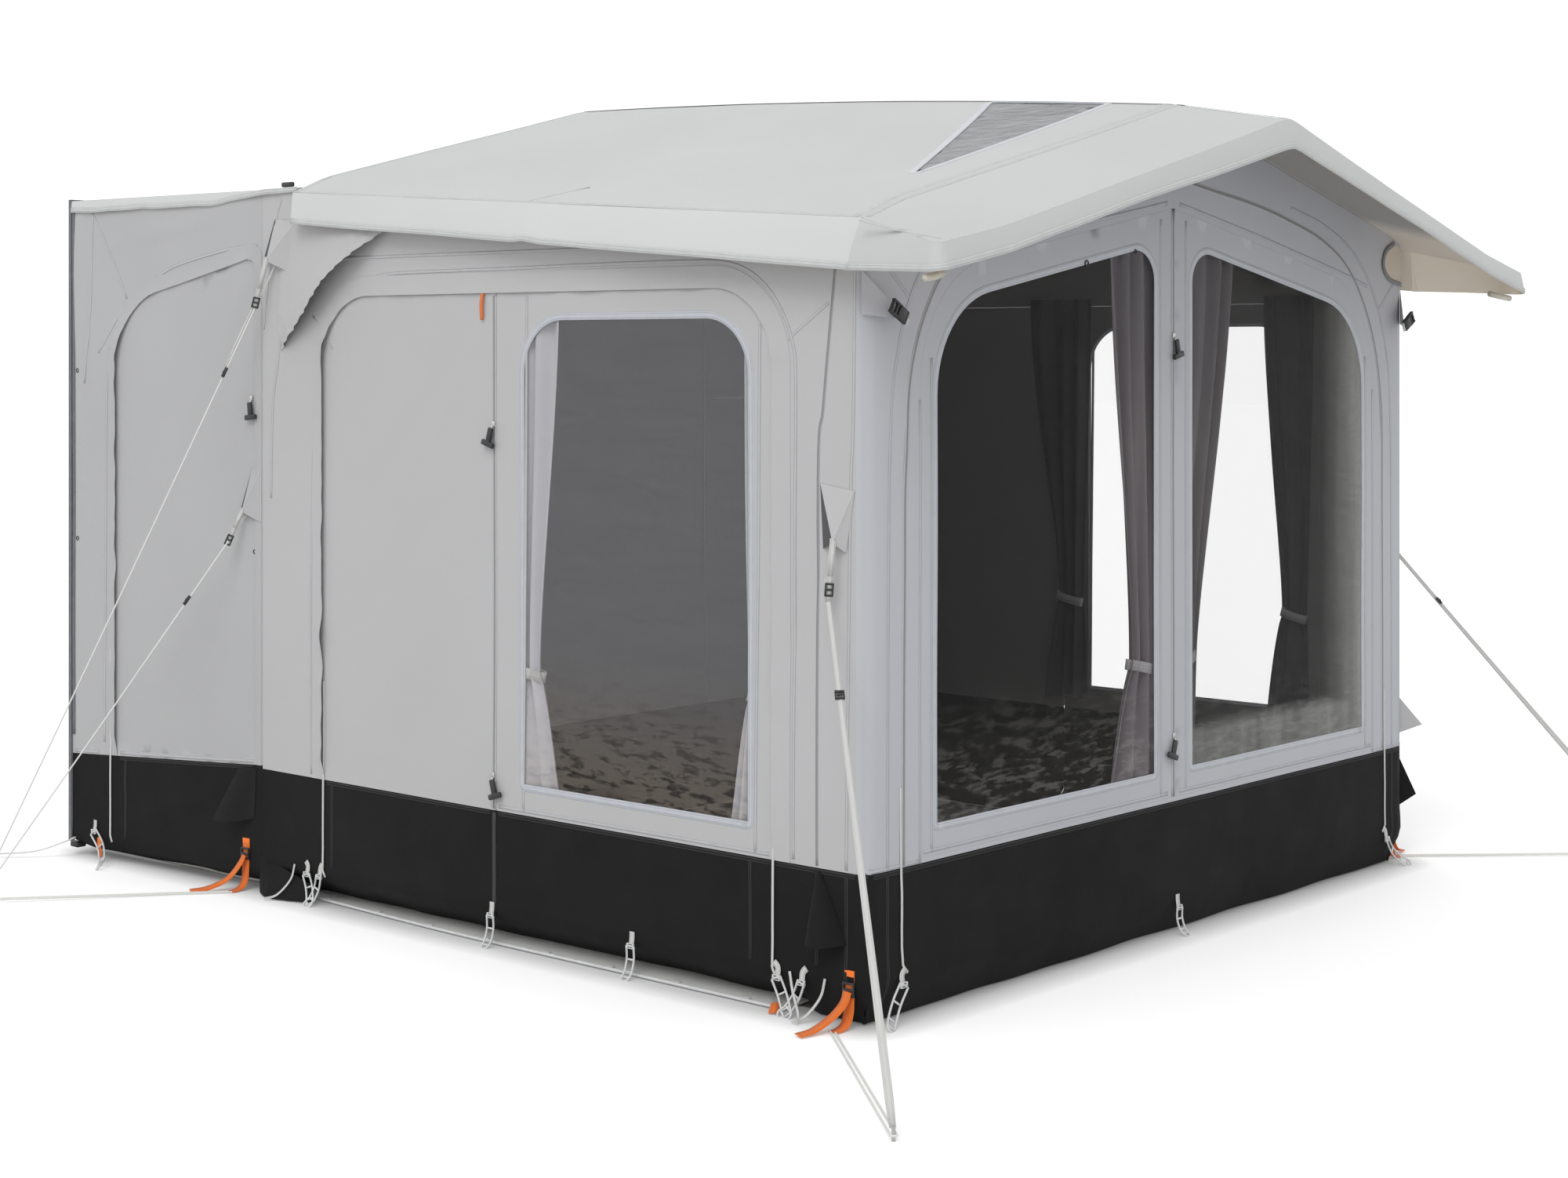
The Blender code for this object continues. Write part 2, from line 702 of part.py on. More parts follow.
def make_tunnel_side(side, tag):
    heading = tunnel_heading(side)
    origin = (side * HALF_WIDTH, back(DEPTH), 0.0)
    top = TUNNEL_TOP - CLOTH - GAP
    start = GAP
    arch = tunnel_door(GAP)
    wall = rounded([
        (start, TUNNEL_HEM, 0.0),
        (start, top, 0.0),
        (TUNNEL_SLANT, top, 0.0),
        (TUNNEL_SLANT, TUNNEL_HEM, 0.0),
        (TUNNEL_DOOR_END + GAP, TUNNEL_HEM, 0.0),
        arch[1],
        arch[0],
        (TUNNEL_DOOR_START - GAP, TUNNEL_HEM, 0.0),
    ])
    flat_piece("tunnel_wall_" + tag, [wall], CLOTH, origin, heading, GREY)
    corner = tunnel_door(0.0)
    door = shifted([
        (TUNNEL_DOOR_START, TUNNEL_HEM, 0.0),
        corner[0],
        corner[1],
        (TUNNEL_DOOR_END, TUNNEL_HEM, 0.0),
    ], TUNNEL_DOOR_END)
    run = Vector((math.cos(heading), math.sin(heading), 0.0))
    inward = Vector((-side * math.sin(heading), side * math.cos(heading), 0.0))
    hinge = Vector(origin) + run * TUNNEL_DOOR_END + inward * (CLOTH / 2.0)
    item = flat_piece("tunnel_door_" + tag, [door], CLOTH, hinge, heading, GREY)
    item.delta_location = inward * (-CLOTH / 2.0)


TUNNEL_COLUMNS = 12


def tunnel_roof_place(u, v):
    column = round(u * TUNNEL_COLUMNS)
    inner = TUNNEL_COLUMNS - 2
    banded = column in (0, TUNNEL_COLUMNS)
    s = 2.0 * (min(max(column - 1, 0), inner)) / inner - 1.0
    side = -1.0 if s < 0.0 else 1.0
    start = roof_end(abs(s) * HALF_WIDTH) + GABLE_SET
    distance = blend(start, DEPTH + TUNNEL_LENGTH, v)
    edge = tunnel_x(distance) + CLOTH / 2.0 + CLOTH + 2.0 * GAP
    height = TUNNEL_TOP + TUNNEL_DOME * (1.0 - s * s)
    x = edge * s
    if banded:
        x += side * CLOTH
        height -= TUNNEL_BAND
    return x, back(distance), height


def gable_place(u, v):
    x = (2.0 * u - 1.0) * (HALF_WIDTH - GABLE_IN)
    distance = roof_end(abs(x)) - GABLE_SET
    bottom = TUNNEL_TOP - GABLE_LAP
    top = roof_under(abs(x), distance)
    return x, back(distance), blend(bottom, top, v)


def make_tunnel_top():
    sheet("tunnel_roof", TUNNEL_COLUMNS, 5, tunnel_roof_place, CLOTH, ROOF)
    sheet("rear_gable", 14, 2, gable_place, CLOTH, GREY, offset=1.0)
    outer = HALF_WIDTH + TUNNEL_FLARE
    half = BEADING / 2.0
    low = TUNNEL_HEM
    high = TUNNEL_TOP - CLOTH
    frame = [
        (-outer - half, low), (-outer - half, high + half), (outer + half, high + half),
        (outer + half, low), (outer - half, low), (outer - half, high - half),
        (-outer + half, high - half), (-outer + half, low),
    ]
    y = back(DEPTH + TUNNEL_LENGTH) + GAP + BEADING / 2.0
    flat_piece("vehicle_beading", [frame], BEADING, (0.0, y, 0.0), 0.0, BLACK)
    length = DEPTH + TUNNEL_LENGTH - FLOOR_START - FLOOR_STOP
    block(
        "groundsheet", (2.0 * (HALF_WIDTH - FLOOR_IN), length, SHEET),
        (0.0, back(FLOOR_START + length / 2.0), SHEET / 2.0), 0.0, FLOOR,
    )


def make_rear_wall():
    """Wall between cabin and tunnel, with a doorway, and the door that zips into it."""
    y = back(DEPTH - REAR_WALL_SET)
    edge = HALF_WIDTH - CLOTH / 2.0 - GAP
    top = TUNNEL_TOP - GABLE_LAP - SEAM_GAP
    low = REAR_WALL_RAISE
    hole = REAR_DOOR_HALF + GAP
    wall = rounded([
        (-edge, low, 0.0),
        (-edge, top, 0.0),
        (edge, top, 0.0),
        (edge, low, 0.0),
        (hole, low, 0.0),
        (hole, REAR_DOOR_TOP + GAP, REAR_DOOR_RADIUS + GAP),
        (-hole, REAR_DOOR_TOP + GAP, REAR_DOOR_RADIUS + GAP),
        (-hole, low, 0.0),
    ])
    flat_piece("rear_wall", [wall], CLOTH, (0.0, y, 0.0), 0.0, GREY)
    door = shifted([
        (-REAR_DOOR_HALF, low, 0.0),
        (-REAR_DOOR_HALF, REAR_DOOR_TOP, REAR_DOOR_RADIUS),
        (REAR_DOOR_HALF, REAR_DOOR_TOP, REAR_DOOR_RADIUS),
        (REAR_DOOR_HALF, low, 0.0),
    ], -REAR_DOOR_HALF)
    hinge = (-REAR_DOOR_HALF, y - CLOTH / 2.0, 0.0)
    item = flat_piece("rear_door_panel", [door], CLOTH, hinge, 0.0, GREY)
    item.delta_location = (0.0, CLOTH / 2.0, 0.0)


# Frame inside

def arch_corners(distance, ridge, fold):
    leg = HALF_WIDTH - CLOTH / 2.0 - GAP - BEAM_RADIUS
    foot = SHEET + GAP
    drop = BEAM_RADIUS * BEAM_ROOM + CLOTH * 1.25 + 2.0 * GAP
    apex = ridge - drop
    slope = (ridge - fold - SHOULDER_RISE) / SHOULDER_X
    eave = apex - slope * leg - 0.004
    y = back(distance)
    return [
        (-leg, y, foot), (-leg, y, eave), (0.0, y, apex), (leg, y, eave), (leg, y, foot),
    ]


def arch_path(corners):
    points = filleted(corners, BEAM_BEND, 5)
    full = []
    for a, b in zip(points, points[1:]):
        pieces = max(1, round((b - a).length / 0.35))
        full += [a.lerp(b, k / pieces) for k in range(pieces)]
    return full + [points[-1]]


def make_frame():
    front = CLOTH / 2.0 + GAP + BEAM_RADIUS
    rear = EAVE_END - GABLE_IN - CLOTH - GAP - BEAM_RADIUS
    tube("air_beam_front", arch_path(arch_corners(front, ridge_height(front), fold_height(front))),
         BEAM_RADIUS, BEAM, detail=3, roughness=0.5)
    tube("air_beam_rear", arch_path(arch_corners(rear, ridge_height(rear), fold_height(rear))),
         BEAM_RADIUS, BEAM, detail=3, roughness=0.5)
    low = ridge_height(front) - BEAM_RADIUS * BEAM_ROOM - CLOTH * 1.25 - STRUT_DROP
    high = ridge_height(rear) - BEAM_RADIUS * BEAM_ROOM - CLOTH * 1.25 - STRUT_DROP
    lean = (high - low) / (rear - front)
    flat = BEAM_RADIUS * math.cos(math.pi / BEAM_SIDES)
    first = flat + STRUT_SEAT_FRONT
    last = flat + STRUT_SEAT_REAR
    start = (0.0, back(front + first), low + lean * first)
    end = (0.0, back(rear - last), high - lean * last)
    tube("ridge_strut", straight(start, end, 5), STRUT_RADIUS, BEAM, detail=3, roughness=0.5)


def brow_point(out):
    """Middle of the pole in the visor's front fold."""
    tip = FOLD_X + VISOR_SPREAD - VISOR_TUCK
    t = out / SHOULDER_X
    shoulder = VISOR_FOLD + SHOULDER_RISE
    if out <= SHOULDER_X:
        height = blend(VISOR_RIDGE, shoulder, t)
    else:
        height = blend(shoulder, VISOR_FOLD, (out - SHOULDER_X) / (tip - SHOULDER_X))
    front = -VISOR_REACH + VISOR_SWEEP * min(out / FOLD_X, 1.0)
    return front + BROW_RADIUS + GAP, height - BROW_RADIUS - CLOTH * 1.1


def make_brow():
    outs = [SHOULDER_X * k / SLOPE_STEPS for k in range(SLOPE_STEPS + 1)] + [BROW_HALF]
    right = [(out, *brow_point(out)) for out in outs]
    left = [(-x, y, z) for x, y, z in reversed(right[1:])]
    points = [(x, back(y), z) for x, y, z in left + right]
    tube("brow_pole", points, BROW_RADIUS, STEEL, detail=2, roughness=0.35, metallic=1.0)


# Curtains

def curtain(name, lay, top, side, start, widths):
    """Curtain gathered at a tie: widths holds (from, to) along the wall at top, tie and hem."""
    high, waist, low = [(start + first, start + last) for first, last in widths]
    hem = CURTAIN_HEM
    tie = CURTAIN_TIE

    def place(u, v):
        height = blend(hem, top, v)
        if height > tie:
            t = (height - tie) / (top - tie)
            ease = t * t * (3.0 - 2.0 * t)
            first = blend(waist[0], high[0], ease)
            last = blend(waist[1], high[1], ease)
        else:
            t = (tie - height) / (tie - hem)
            ease = t ** 0.7
            first = blend(waist[0], low[0], ease)
            last = blend(waist[1], low[1], ease)
        wave = 0.5 - 0.5 * math.cos(2.0 * math.pi * FOLDS * u)
        depth = FOLD_DEPTH * wave
        return lay(blend(first, last, u), depth, height)

    return sheet(name, 6 * FOLDS, 10, place, CURTAIN_CLOTH, CURTAIN, offset=side)


def make_curtains():
    seat = CLOTH / 2.0 + GAP

    def front(s):
        def lay(x, depth, height):
            return s * x, back(seat + depth), height
        return lay

    top = panel_top(0.0) + FRONT_CURTAIN_LAP
    for s, tag in ((-1.0, "left"), (1.0, "right")):
        curtain("curtain_front_" + tag, front(s), top, -s, 0.0, FRONT_CURTAIN)

    def along(s):
        def lay(distance, depth, height):
            return s * (HALF_WIDTH - seat - depth), back(distance), height
        return lay

    top = SIDE_ARCH_TOP + SIDE_CURTAIN_LAP
    for s, tag in ((-1.0, "left"), (1.0, "right")):
        curtain("curtain_" + tag + "_rear", along(s), top, -s, SIDE_ZIP, REAR_CURTAIN[tag])
        curtain("curtain_" + tag + "_front", along(s), top, -s, SIDE_ARCH_FRONT, SIDE_CURTAIN)


# Small pieces

def toggle_outline():
    """Side view of a zip puller: a stem with a crossbar."""
    return [
        (0.000, -0.004), (0.016, -0.004), (0.016, -0.020), (0.024, -0.020),
        (0.024, 0.020), (0.016, 0.020), (0.016, 0.004), (0.000, 0.004),
    ]


def puller(name, place, heading):
    flat_piece(name, [toggle_outline()], PULLER_THICK, place, heading, BLACK, roughness=0.4)


def make_pullers():
    y = back(-CLOTH / 2.0 - GAP)
    for tag, height in (("upper", 1.610), ("lower", 0.530)):
        puller("puller_front_" + tag, (-PULLER_WIDTH, y, height), -math.pi / 2.0)
    x = -HALF_WIDTH - CLOTH / 2.0 - GAP
    for tag, height in (("upper", 1.375), ("lower", 0.445)):
        puller("puller_left_" + tag, (x, back(SIDE_ZIP + PULLER_WIDTH), height), math.pi)
    heading = tunnel_heading(-1.0)
    run = Vector((math.cos(heading), math.sin(heading), 0.0))
    out = Vector((-math.sin(heading), math.cos(heading), 0.0))
    along = run * (TUNNEL_DOOR_START + PULLER_WIDTH)
    spot = Vector((-HALF_WIDTH, back(DEPTH), 1.430)) + along + out * (CLOTH / 2.0 + GAP)
    puller("puller_tunnel_left", spot, heading + math.pi / 2.0)


def strap_seat(side, distance):
    """Foot of a pegging strap on a side wall, and the way out from that wall."""
    if distance < DEPTH:
        out = Vector((side, 0.0, 0.0))
        base = Vector((side * HALF_WIDTH, back(distance), 0.0))
    else:
        heading = tunnel_heading(side)
        out = Vector((side * math.sin(heading), -side * math.cos(heading), 0.0))
        run = Vector((math.cos(heading), math.sin(heading), 0.0))
        base = Vector((side * HALF_WIDTH, back(DEPTH), 0.0)) + run * (distance - DEPTH)
    return base + out * (CLOTH / 2.0 + GAP), out


def strap(name, side, distance, drop):
    """Pegging strap: down the wall, through its buckle and out along the ground."""
    t = STRAP_CLOTH
    top = drop - STRAP_BUCKLE_DROP
    low = top - STRAP_BUCKLE
    outline = [
        (0.000, t), (0.000, drop), (t, drop), (t, top), (0.011, top),
        (0.011, low), (t, low), (t, 0.020), (0.016, 2.0 * t),
        (STRAP_FOOT, 2.0 * t), (STRAP_FOOT, t), (0.012, t),
    ]
    spot, out = strap_seat(side, distance)
    flat_piece(name, [outline], STRAP_WIDTH, spot, math.atan2(out.y, out.x), ORANGE, roughness=0.7)


def make_straps():
    strap("strap_front_left", -1.0, FRONT_STRAP, STRAP_TOP_FRONT)
    strap("strap_front_right", 1.0, FRONT_STRAP, STRAP_TOP_FRONT)
    strap("strap_rear_left", -1.0, REAR_STRAP, STRAP_TOP_REAR)


# Guy lines

def wall_hook(side, place, radius):
    """Start of a guy line on a side wall's outer face."""
    distance, height = place
    x = tunnel_x(distance) + CLOTH / 2.0 + radius * 0.92 + 2.0 * GAP
    return Vector((side * x, back(distance), height))


def peg_spot(side, place, rise):
    return Vector((side * place[0], back(place[1]), rise))


def slider(name, start, end, share, radius):
    """Adjuster on a guy line: a short block that the line runs through."""
    run = (Vector(end) - Vector(start)).normalized()
    middle = Vector(start).lerp(Vector(end), share)
    mesh = bpy.data.meshes.new(name)
    shape = bmesh.new()
    bmesh.ops.create_cone(
        shape, cap_ends=True, cap_tris=False, segments=12,
        radius1=radius + SLIDER_WALL, radius2=radius + SLIDER_WALL, depth=SLIDER_LENGTH,
    )
    shape.to_mesh(mesh)
    shape.free()
    item = bpy.data.objects.new(name, mesh)
    item.location = middle
    item.rotation_mode = "QUATERNION"
    item.rotation_quaternion = run.to_track_quat("Z", "Y")
    link(item, BLACK, roughness=0.4)
    mesh = bpy.data.meshes.new(name + "_bore")
    shape = bmesh.new()
    bmesh.ops.create_cone(
        shape, cap_ends=True, cap_tris=False, segments=12,
        radius1=radius * 1.04 + GAP, radius2=radius * 1.04 + GAP, depth=2.0 * SLIDER_LENGTH,
    )
    shape.to_mesh(mesh)
    shape.free()
    bore = bpy.data.objects.new(name + "_bore", mesh)
    bore.location = middle
    bore.rotation_mode = "QUATERNION"
    bore.rotation_quaternion = run.to_track_quat("Z", "Y")
    bore.hide_render = True
    bore.display_type = "WIRE"
    bpy.data.collections["guides"].objects.link(bore)
    change = item.modifiers.new("bore", "BOOLEAN")
    change.operation = "DIFFERENCE"
    change.solver = "EXACT"
    change.object = bore


def foot_route(spot, out, far):
    """Doubled line from the pegging strap's end round the peg and back."""
    near = spot + out * (STRAP_FOOT + FOOT_RADIUS * 0.8 + GAP) + Vector((0.0, 0.0, FOOT_RADIUS + 0.001))
    run = (far - near).normalized()
    across = Vector((-run.y, run.x, 0.0)).normalized()
    spread = Vector((-out.y, out.x, 0.0)) * 0.008
    loop = PEG_RADIUS + FOOT_RADIUS * 1.1 + GAP
    points = straight(near + spread, far + across * loop, 6)
    for k in range(1, 8):
        a = math.pi * k / 8.0
        points.append(far + across * (loop * math.cos(a)) + run * (loop * 1.1 * math.sin(a)))
    points += straight(far - across * loop, near - spread, 6)
    return points


def make_guys():
    near_peg = 0.024
    for side, tag in ((-1.0, "left"), (1.0, "right")):
        start = wall_hook(side, FRONT_GUY, WEBBING_RADIUS)
        away = Vector((start.x - side * FRONT_PEG[0], start.y - back(FRONT_PEG[1]), 0.0)).normalized()
        end = peg_spot(side, FRONT_PEG, near_peg) + away * (PEG_RADIUS + WEBBING_RADIUS * 0.8 + GAP)
        tube("guy_front_" + tag, straight(start, end, 10), WEBBING_RADIUS, WHITE, roughness=0.8)
        slider("slider_front_" + tag, start, end, 0.245, WEBBING_RADIUS)
        route = foot_route(*strap_seat(side, FRONT_STRAP), peg_spot(side, FRONT_PEG, 0.012))
        tube("foot_line_front_" + tag, route, FOOT_RADIUS, WHITE, roughness=0.8)
    for tag, place, share, rise in (
        ("upper", REAR_GUY_UPPER, 0.175, 0.030), ("lower", REAR_GUY_LOWER, 0.230, 0.018),
    ):
        start = wall_hook(-1.0, place, GUY_RADIUS)
        end = peg_spot(-1.0, REAR_PEG, rise)
        tube("guy_rear_left_" + tag, straight(start, end, 10), GUY_RADIUS, WHITE, roughness=0.8)
        slider("slider_rear_left_" + tag, start, end, share, GUY_RADIUS)
    route = foot_route(*strap_seat(-1.0, REAR_STRAP), peg_spot(-1.0, REAR_PEG, 0.012))
    tube("foot_line_rear_left", route, FOOT_RADIUS, WHITE, roughness=0.8)
    x = -tunnel_x(TUNNEL_STRAP) - CLOTH / 2.0 - WEBBING_RADIUS * 0.7 - 2.0 * GAP
    start = Vector((x, back(TUNNEL_STRAP), TUNNEL_STRAP_RISE))
    run = Vector((-TUNNEL_STRAP_RUN[0], TUNNEL_STRAP_RUN[1], 0.010 - TUNNEL_STRAP_RISE))
    tube("tunnel_strap_left", straight(start, start + run, 8), WEBBING_RADIUS, WHITE, roughness=0.8)
    mesh = bpy.data.meshes.new("peg_front_left")
    shape = bmesh.new()
    bmesh.ops.create_cone(
        shape, cap_ends=True, cap_tris=False, segments=12, radius1=PEG_RADIUS, radius2=PEG_RADIUS,
        depth=PEG_HEIGHT,
    )
    shape.to_mesh(mesh)
    shape.free()
    item = bpy.data.objects.new("peg_front_left", mesh)
    item.location = peg_spot(-1.0, FRONT_PEG, PEG_HEIGHT / 2.0)
    link(item, STEEL, roughness=0.3, metallic=1.0)


clear_scene()
make_roof()
make_front()
make_mud_wall()
make_side(-1.0, "left")
make_side(1.0, "right")
make_tunnel_side(-1.0, "left")
make_tunnel_side(1.0, "right")
make_tunnel_top()
make_rear_wall()
make_frame()
make_brow()
make_curtains()
make_pullers()
make_straps()
make_guys()
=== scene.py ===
"""Looks of the inflatable driveaway awning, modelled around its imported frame.

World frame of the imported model: X across the front, +Y towards the vehicle, +Z up, metres. A place
along Y is first given as its distance behind the front wall, and back() turns it into a world Y.
"""

import math

import bmesh
import bpy
import numpy as np
from mathutils import Matrix, Vector, noise
from mathutils.geometry import delaunay_2d_cdt


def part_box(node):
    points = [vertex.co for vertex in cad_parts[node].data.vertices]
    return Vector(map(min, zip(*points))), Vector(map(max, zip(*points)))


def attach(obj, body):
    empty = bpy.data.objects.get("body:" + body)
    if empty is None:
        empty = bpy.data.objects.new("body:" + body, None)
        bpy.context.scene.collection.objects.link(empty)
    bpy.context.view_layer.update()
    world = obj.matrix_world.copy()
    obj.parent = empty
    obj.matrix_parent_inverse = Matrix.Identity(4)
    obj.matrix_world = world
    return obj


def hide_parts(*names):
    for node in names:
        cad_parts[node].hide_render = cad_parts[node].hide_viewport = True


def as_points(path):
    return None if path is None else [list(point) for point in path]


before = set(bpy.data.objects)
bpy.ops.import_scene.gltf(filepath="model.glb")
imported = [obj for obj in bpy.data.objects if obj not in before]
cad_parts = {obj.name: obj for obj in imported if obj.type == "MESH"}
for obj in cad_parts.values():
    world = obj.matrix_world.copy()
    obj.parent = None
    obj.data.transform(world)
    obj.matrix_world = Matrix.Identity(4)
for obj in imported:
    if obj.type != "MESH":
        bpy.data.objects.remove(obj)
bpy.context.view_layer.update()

# Sizes repeated from the part
HALF_WIDTH = 1.300
DEPTH = 2.280
EAVE_END = 2.100
EAVE_CLEAR = 0.006
FOLD_X = 1.330
SHOULDER_X = 1.200
ORIGIN_BACK = 1.410
MUD = 0.360
TUNNEL_LENGTH = 0.890
TUNNEL_FLARE = 0.060
TUNNEL_SLANT = math.hypot(TUNNEL_FLARE, TUNNEL_LENGTH)
TUNNEL_TOP = 2.045
TUNNEL_DOOR_END = 0.668
TUNNEL_DOME = 0.055
WALL_TOP = TUNNEL_TOP - 0.0023
PANEL_HALF = 1.100
PANEL_SILL = 0.372
PANEL_SHOULDER = 1.755
PANEL_RISE = 0.1875
PANEL_ROUND = 0.320
WINDOW_OUTER = 1.045
WINDOW_INNER = 0.085
WINDOW_SILL = 0.437
WINDOW_SHOULDER = 1.690
ARCH_FRONT = 0.290
ARCH_REAR = 1.990
ARCH_TOP = 1.728
SPLIT_REAR = 1.2715
SPLIT_FRONT = 1.2685
ARCH_ROUND = 0.190
CLOTH = 0.002
GAP = 0.0003
CORNER = 0.030
FLAT = HALF_WIDTH - CORNER
ARC = CORNER * math.pi / 2.0
HEM_FOLD = 0.100
LOW = 0.007
MUD_FOOT = 0.004
MUD_STEP = 0.025
FILM_THICK = 0.0012
THIN = 0.0016
SIDES = ((-1.0, "left"), (1.0, "right"))

UP = Vector((0.0, 0.0, 1.0))
REARWARD = Vector((0.0, 1.0, 0.0))


def back(distance):
    return distance - ORIGIN_BACK


def mix(a, b, t):
    return a + (b - a) * t


def smooth(t):
    t = min(max(t, 0.0), 1.0)
    return t * t * (3.0 - 2.0 * t)


def wave(*place):
    return noise.noise(Vector(place))


# Camera

camera = bpy.data.objects.new("camera", bpy.data.cameras.new("camera"))
bpy.context.scene.collection.objects.link(camera)
camera.location = (-5.803, -5.1309, 1.574)
camera.rotation_euler = (math.radians(90.0), 0.0, math.radians(-48.56))
camera.data.sensor_width = 36.0
camera.data.lens = 57.885
camera.data.shift_y = -0.1512
camera.data.clip_end = 200.0
bpy.context.scene.camera = camera


# Materials

def add(tree, kind, inputs=(), **settings):
    node = tree.nodes.new("ShaderNode" + kind)
    for key, value in settings.items():
        setattr(node, key, value)
    for key, value in dict(inputs).items():
        if isinstance(value, bpy.types.NodeSocket):
            tree.links.new(value, node.inputs[key])
        else:
            node.inputs[key].default_value = value
    return node


def maths(tree, operation, a, b=0.0, c=0.0):
    return add(tree, "Math", {0: a, 1: b, 2: c}, operation=operation).outputs[0]


def ripples(tree, value, pitch):
    """Sine with one wave every pitch."""
    return maths(tree, "SINE", maths(tree, "MULTIPLY", value, 2.0 * math.pi / pitch))


def near_to(tree, value, middle, reach):
    """1 within reach of the middle, and 0 elsewhere."""
    return maths(tree, "LESS_THAN", maths(tree, "ABSOLUTE", maths(tree, "SUBTRACT", value, middle)), reach)


def dashes(tree, value, pitch, share):
    return maths(tree, "LESS_THAN", maths(tree, "FRACT", maths(tree, "DIVIDE", value, pitch)), share)


def shade_of(colour, factor, more=0.0):
    return tuple(min(1.0, factor * c + more) for c in colour)


def blended(tree, amount, first, second):
    node = add(tree, "Mix", data_type="RGBA")
    for socket, value in ((node.inputs[0], amount), (node.inputs[6], first), (node.inputs[7], second)):
        if isinstance(value, bpy.types.NodeSocket):
            tree.links.new(value, socket)
        elif isinstance(value, (int, float)):
            socket.default_value = value
        else:
            socket.default_value = (*value, 1.0)
    return node.outputs[2]


def bumped(tree, height, distance, strength, normal=None):
    node = add(tree, "Bump", {"Height": height, "Distance": distance, "Strength": strength})
    if normal is not None:
        tree.links.new(normal, node.inputs["Normal"])
    return node.outputs["Normal"]


def start_material(name, **sockets):
    found = bpy.data.materials.new(name)
    found.use_nodes = True
    tree = found.node_tree
    shader = tree.nodes["Principled BSDF"]
    for key, value in sockets.items():
        shader.inputs[key.replace("_", " ")].default_value = value
    return found, tree, shader


def noisy(tree, scale, detail=3.0, roughness=0.55, vector=None):
    node = add(tree, "TexNoise", {"Scale": scale, "Detail": detail, "Roughness": roughness})
    if vector is None:
        vector = add(tree, "TexCoord").outputs["Object"]
    tree.links.new(vector, node.inputs["Vector"])
    return node.outputs["Fac"]


def ranged(tree, value, low, high, start=0.3, stop=0.7):
    node = add(tree, "MapRange", {"Value": value, "From Min": start, "From Max": stop, "To Min": low,
                                  "To Max": high})
    return node.outputs[0]


def uv_axes(tree):
    apart = add(tree, "SeparateXYZ", {0: add(tree, "TexCoord").outputs["UV"]})
    return apart.outputs[0], apart.outputs[1]


def weave(tree, pitch):
    """Height of a plain weave whose threads are pitch apart, from UVs in metres."""
    u, v = uv_axes(tree)
    half = ripples(tree, maths(tree, "ADD", u, v), 2.0 * pitch)
    both = maths(tree, "MULTIPLY", ripples(tree, u, pitch), ripples(tree, v, pitch))
    over = maths(tree, "MULTIPLY", both, 0.35)
    return maths(tree, "MULTIPLY_ADD", maths(tree, "ABSOLUTE", half), 0.3, maths(tree, "ADD", over, 0.5))


def cloth_look(name, colour, tint, pitch=0.0011, rough=0.82, sheen=0.12, creases=0.0022, level=0.25,
               rim=None):
    """Coated woven cloth: threads, slow changes of shade, soft creases and faint dust.

    A rim is another colour that takes over between two distances from the middle.
    """
    found, tree, shader = start_material(name, Roughness=rough, Sheen_Weight=sheen, Sheen_Roughness=0.5)
    shader.inputs["Specular IOR Level"].default_value = level
    threads = weave(tree, pitch)
    slow = ranged(tree, noisy(tree, 1.3, 2.0), 0.0, 1.0)
    fine = ranged(tree, noisy(tree, 60.0, 4.0, 0.7), 0.0, 1.0)
    base = blended(tree, slow, colour, tint)
    if rim:
        far = ranged(tree, maths(tree, "ABSOLUTE", uv_axes(tree)[0]), 0.0, 1.0, rim[1], rim[2])
        base = blended(tree, far, base, rim[0])
    gaps = maths(tree, "MULTIPLY", maths(tree, "SUBTRACT", 1.0, threads), 0.35)
    base = blended(tree, gaps, base, shade_of(colour, 0.90))
    base = blended(tree, maths(tree, "MULTIPLY", fine, 0.10), base, shade_of(colour, 1.08))
    tree.links.new(base, shader.inputs["Base Color"])
    soft = bumped(tree, noisy(tree, 5.0, 3.0, 0.45), creases * 4.0, 0.45)
    soft = bumped(tree, noisy(tree, 28.0, 2.0, 0.5), creases * 0.5, 0.35, soft)
    tree.links.new(bumped(tree, threads, 0.0003, 0.5, soft), shader.inputs["Normal"])
    tree.links.new(ranged(tree, noisy(tree, 9.0), rough - 0.06, rough + 0.08), shader.inputs["Roughness"])
    return found


STITCH_PITCH = 0.0042


def stitched_look(name, colour, thread, row=0.0036, rough=0.8):
    """Folded seam with a row of dashed thread either side of its middle."""
    found, tree, shader = start_material(name, Roughness=rough)
    shader.inputs["Specular IOR Level"].default_value = 0.25
    u, v = uv_axes(tree)
    far = maths(tree, "ABSOLUTE", v)
    stitch = maths(tree, "MULTIPLY", dashes(tree, u, STITCH_PITCH, 0.70), near_to(tree, far, row, 0.0006))
    slow = ranged(tree, noisy(tree, 30.0), 0.0, 1.0)
    base = blended(tree, slow, shade_of(colour, 0.96), shade_of(colour, 1.04))
    tree.links.new(blended(tree, stitch, base, thread), shader.inputs["Base Color"])
    puckers = bumped(tree, noisy(tree, 70.0, 2.0), 0.0012, 0.5)
    tree.links.new(bumped(tree, stitch, 0.0006, 0.8, puckers), shader.inputs["Normal"])
    return found


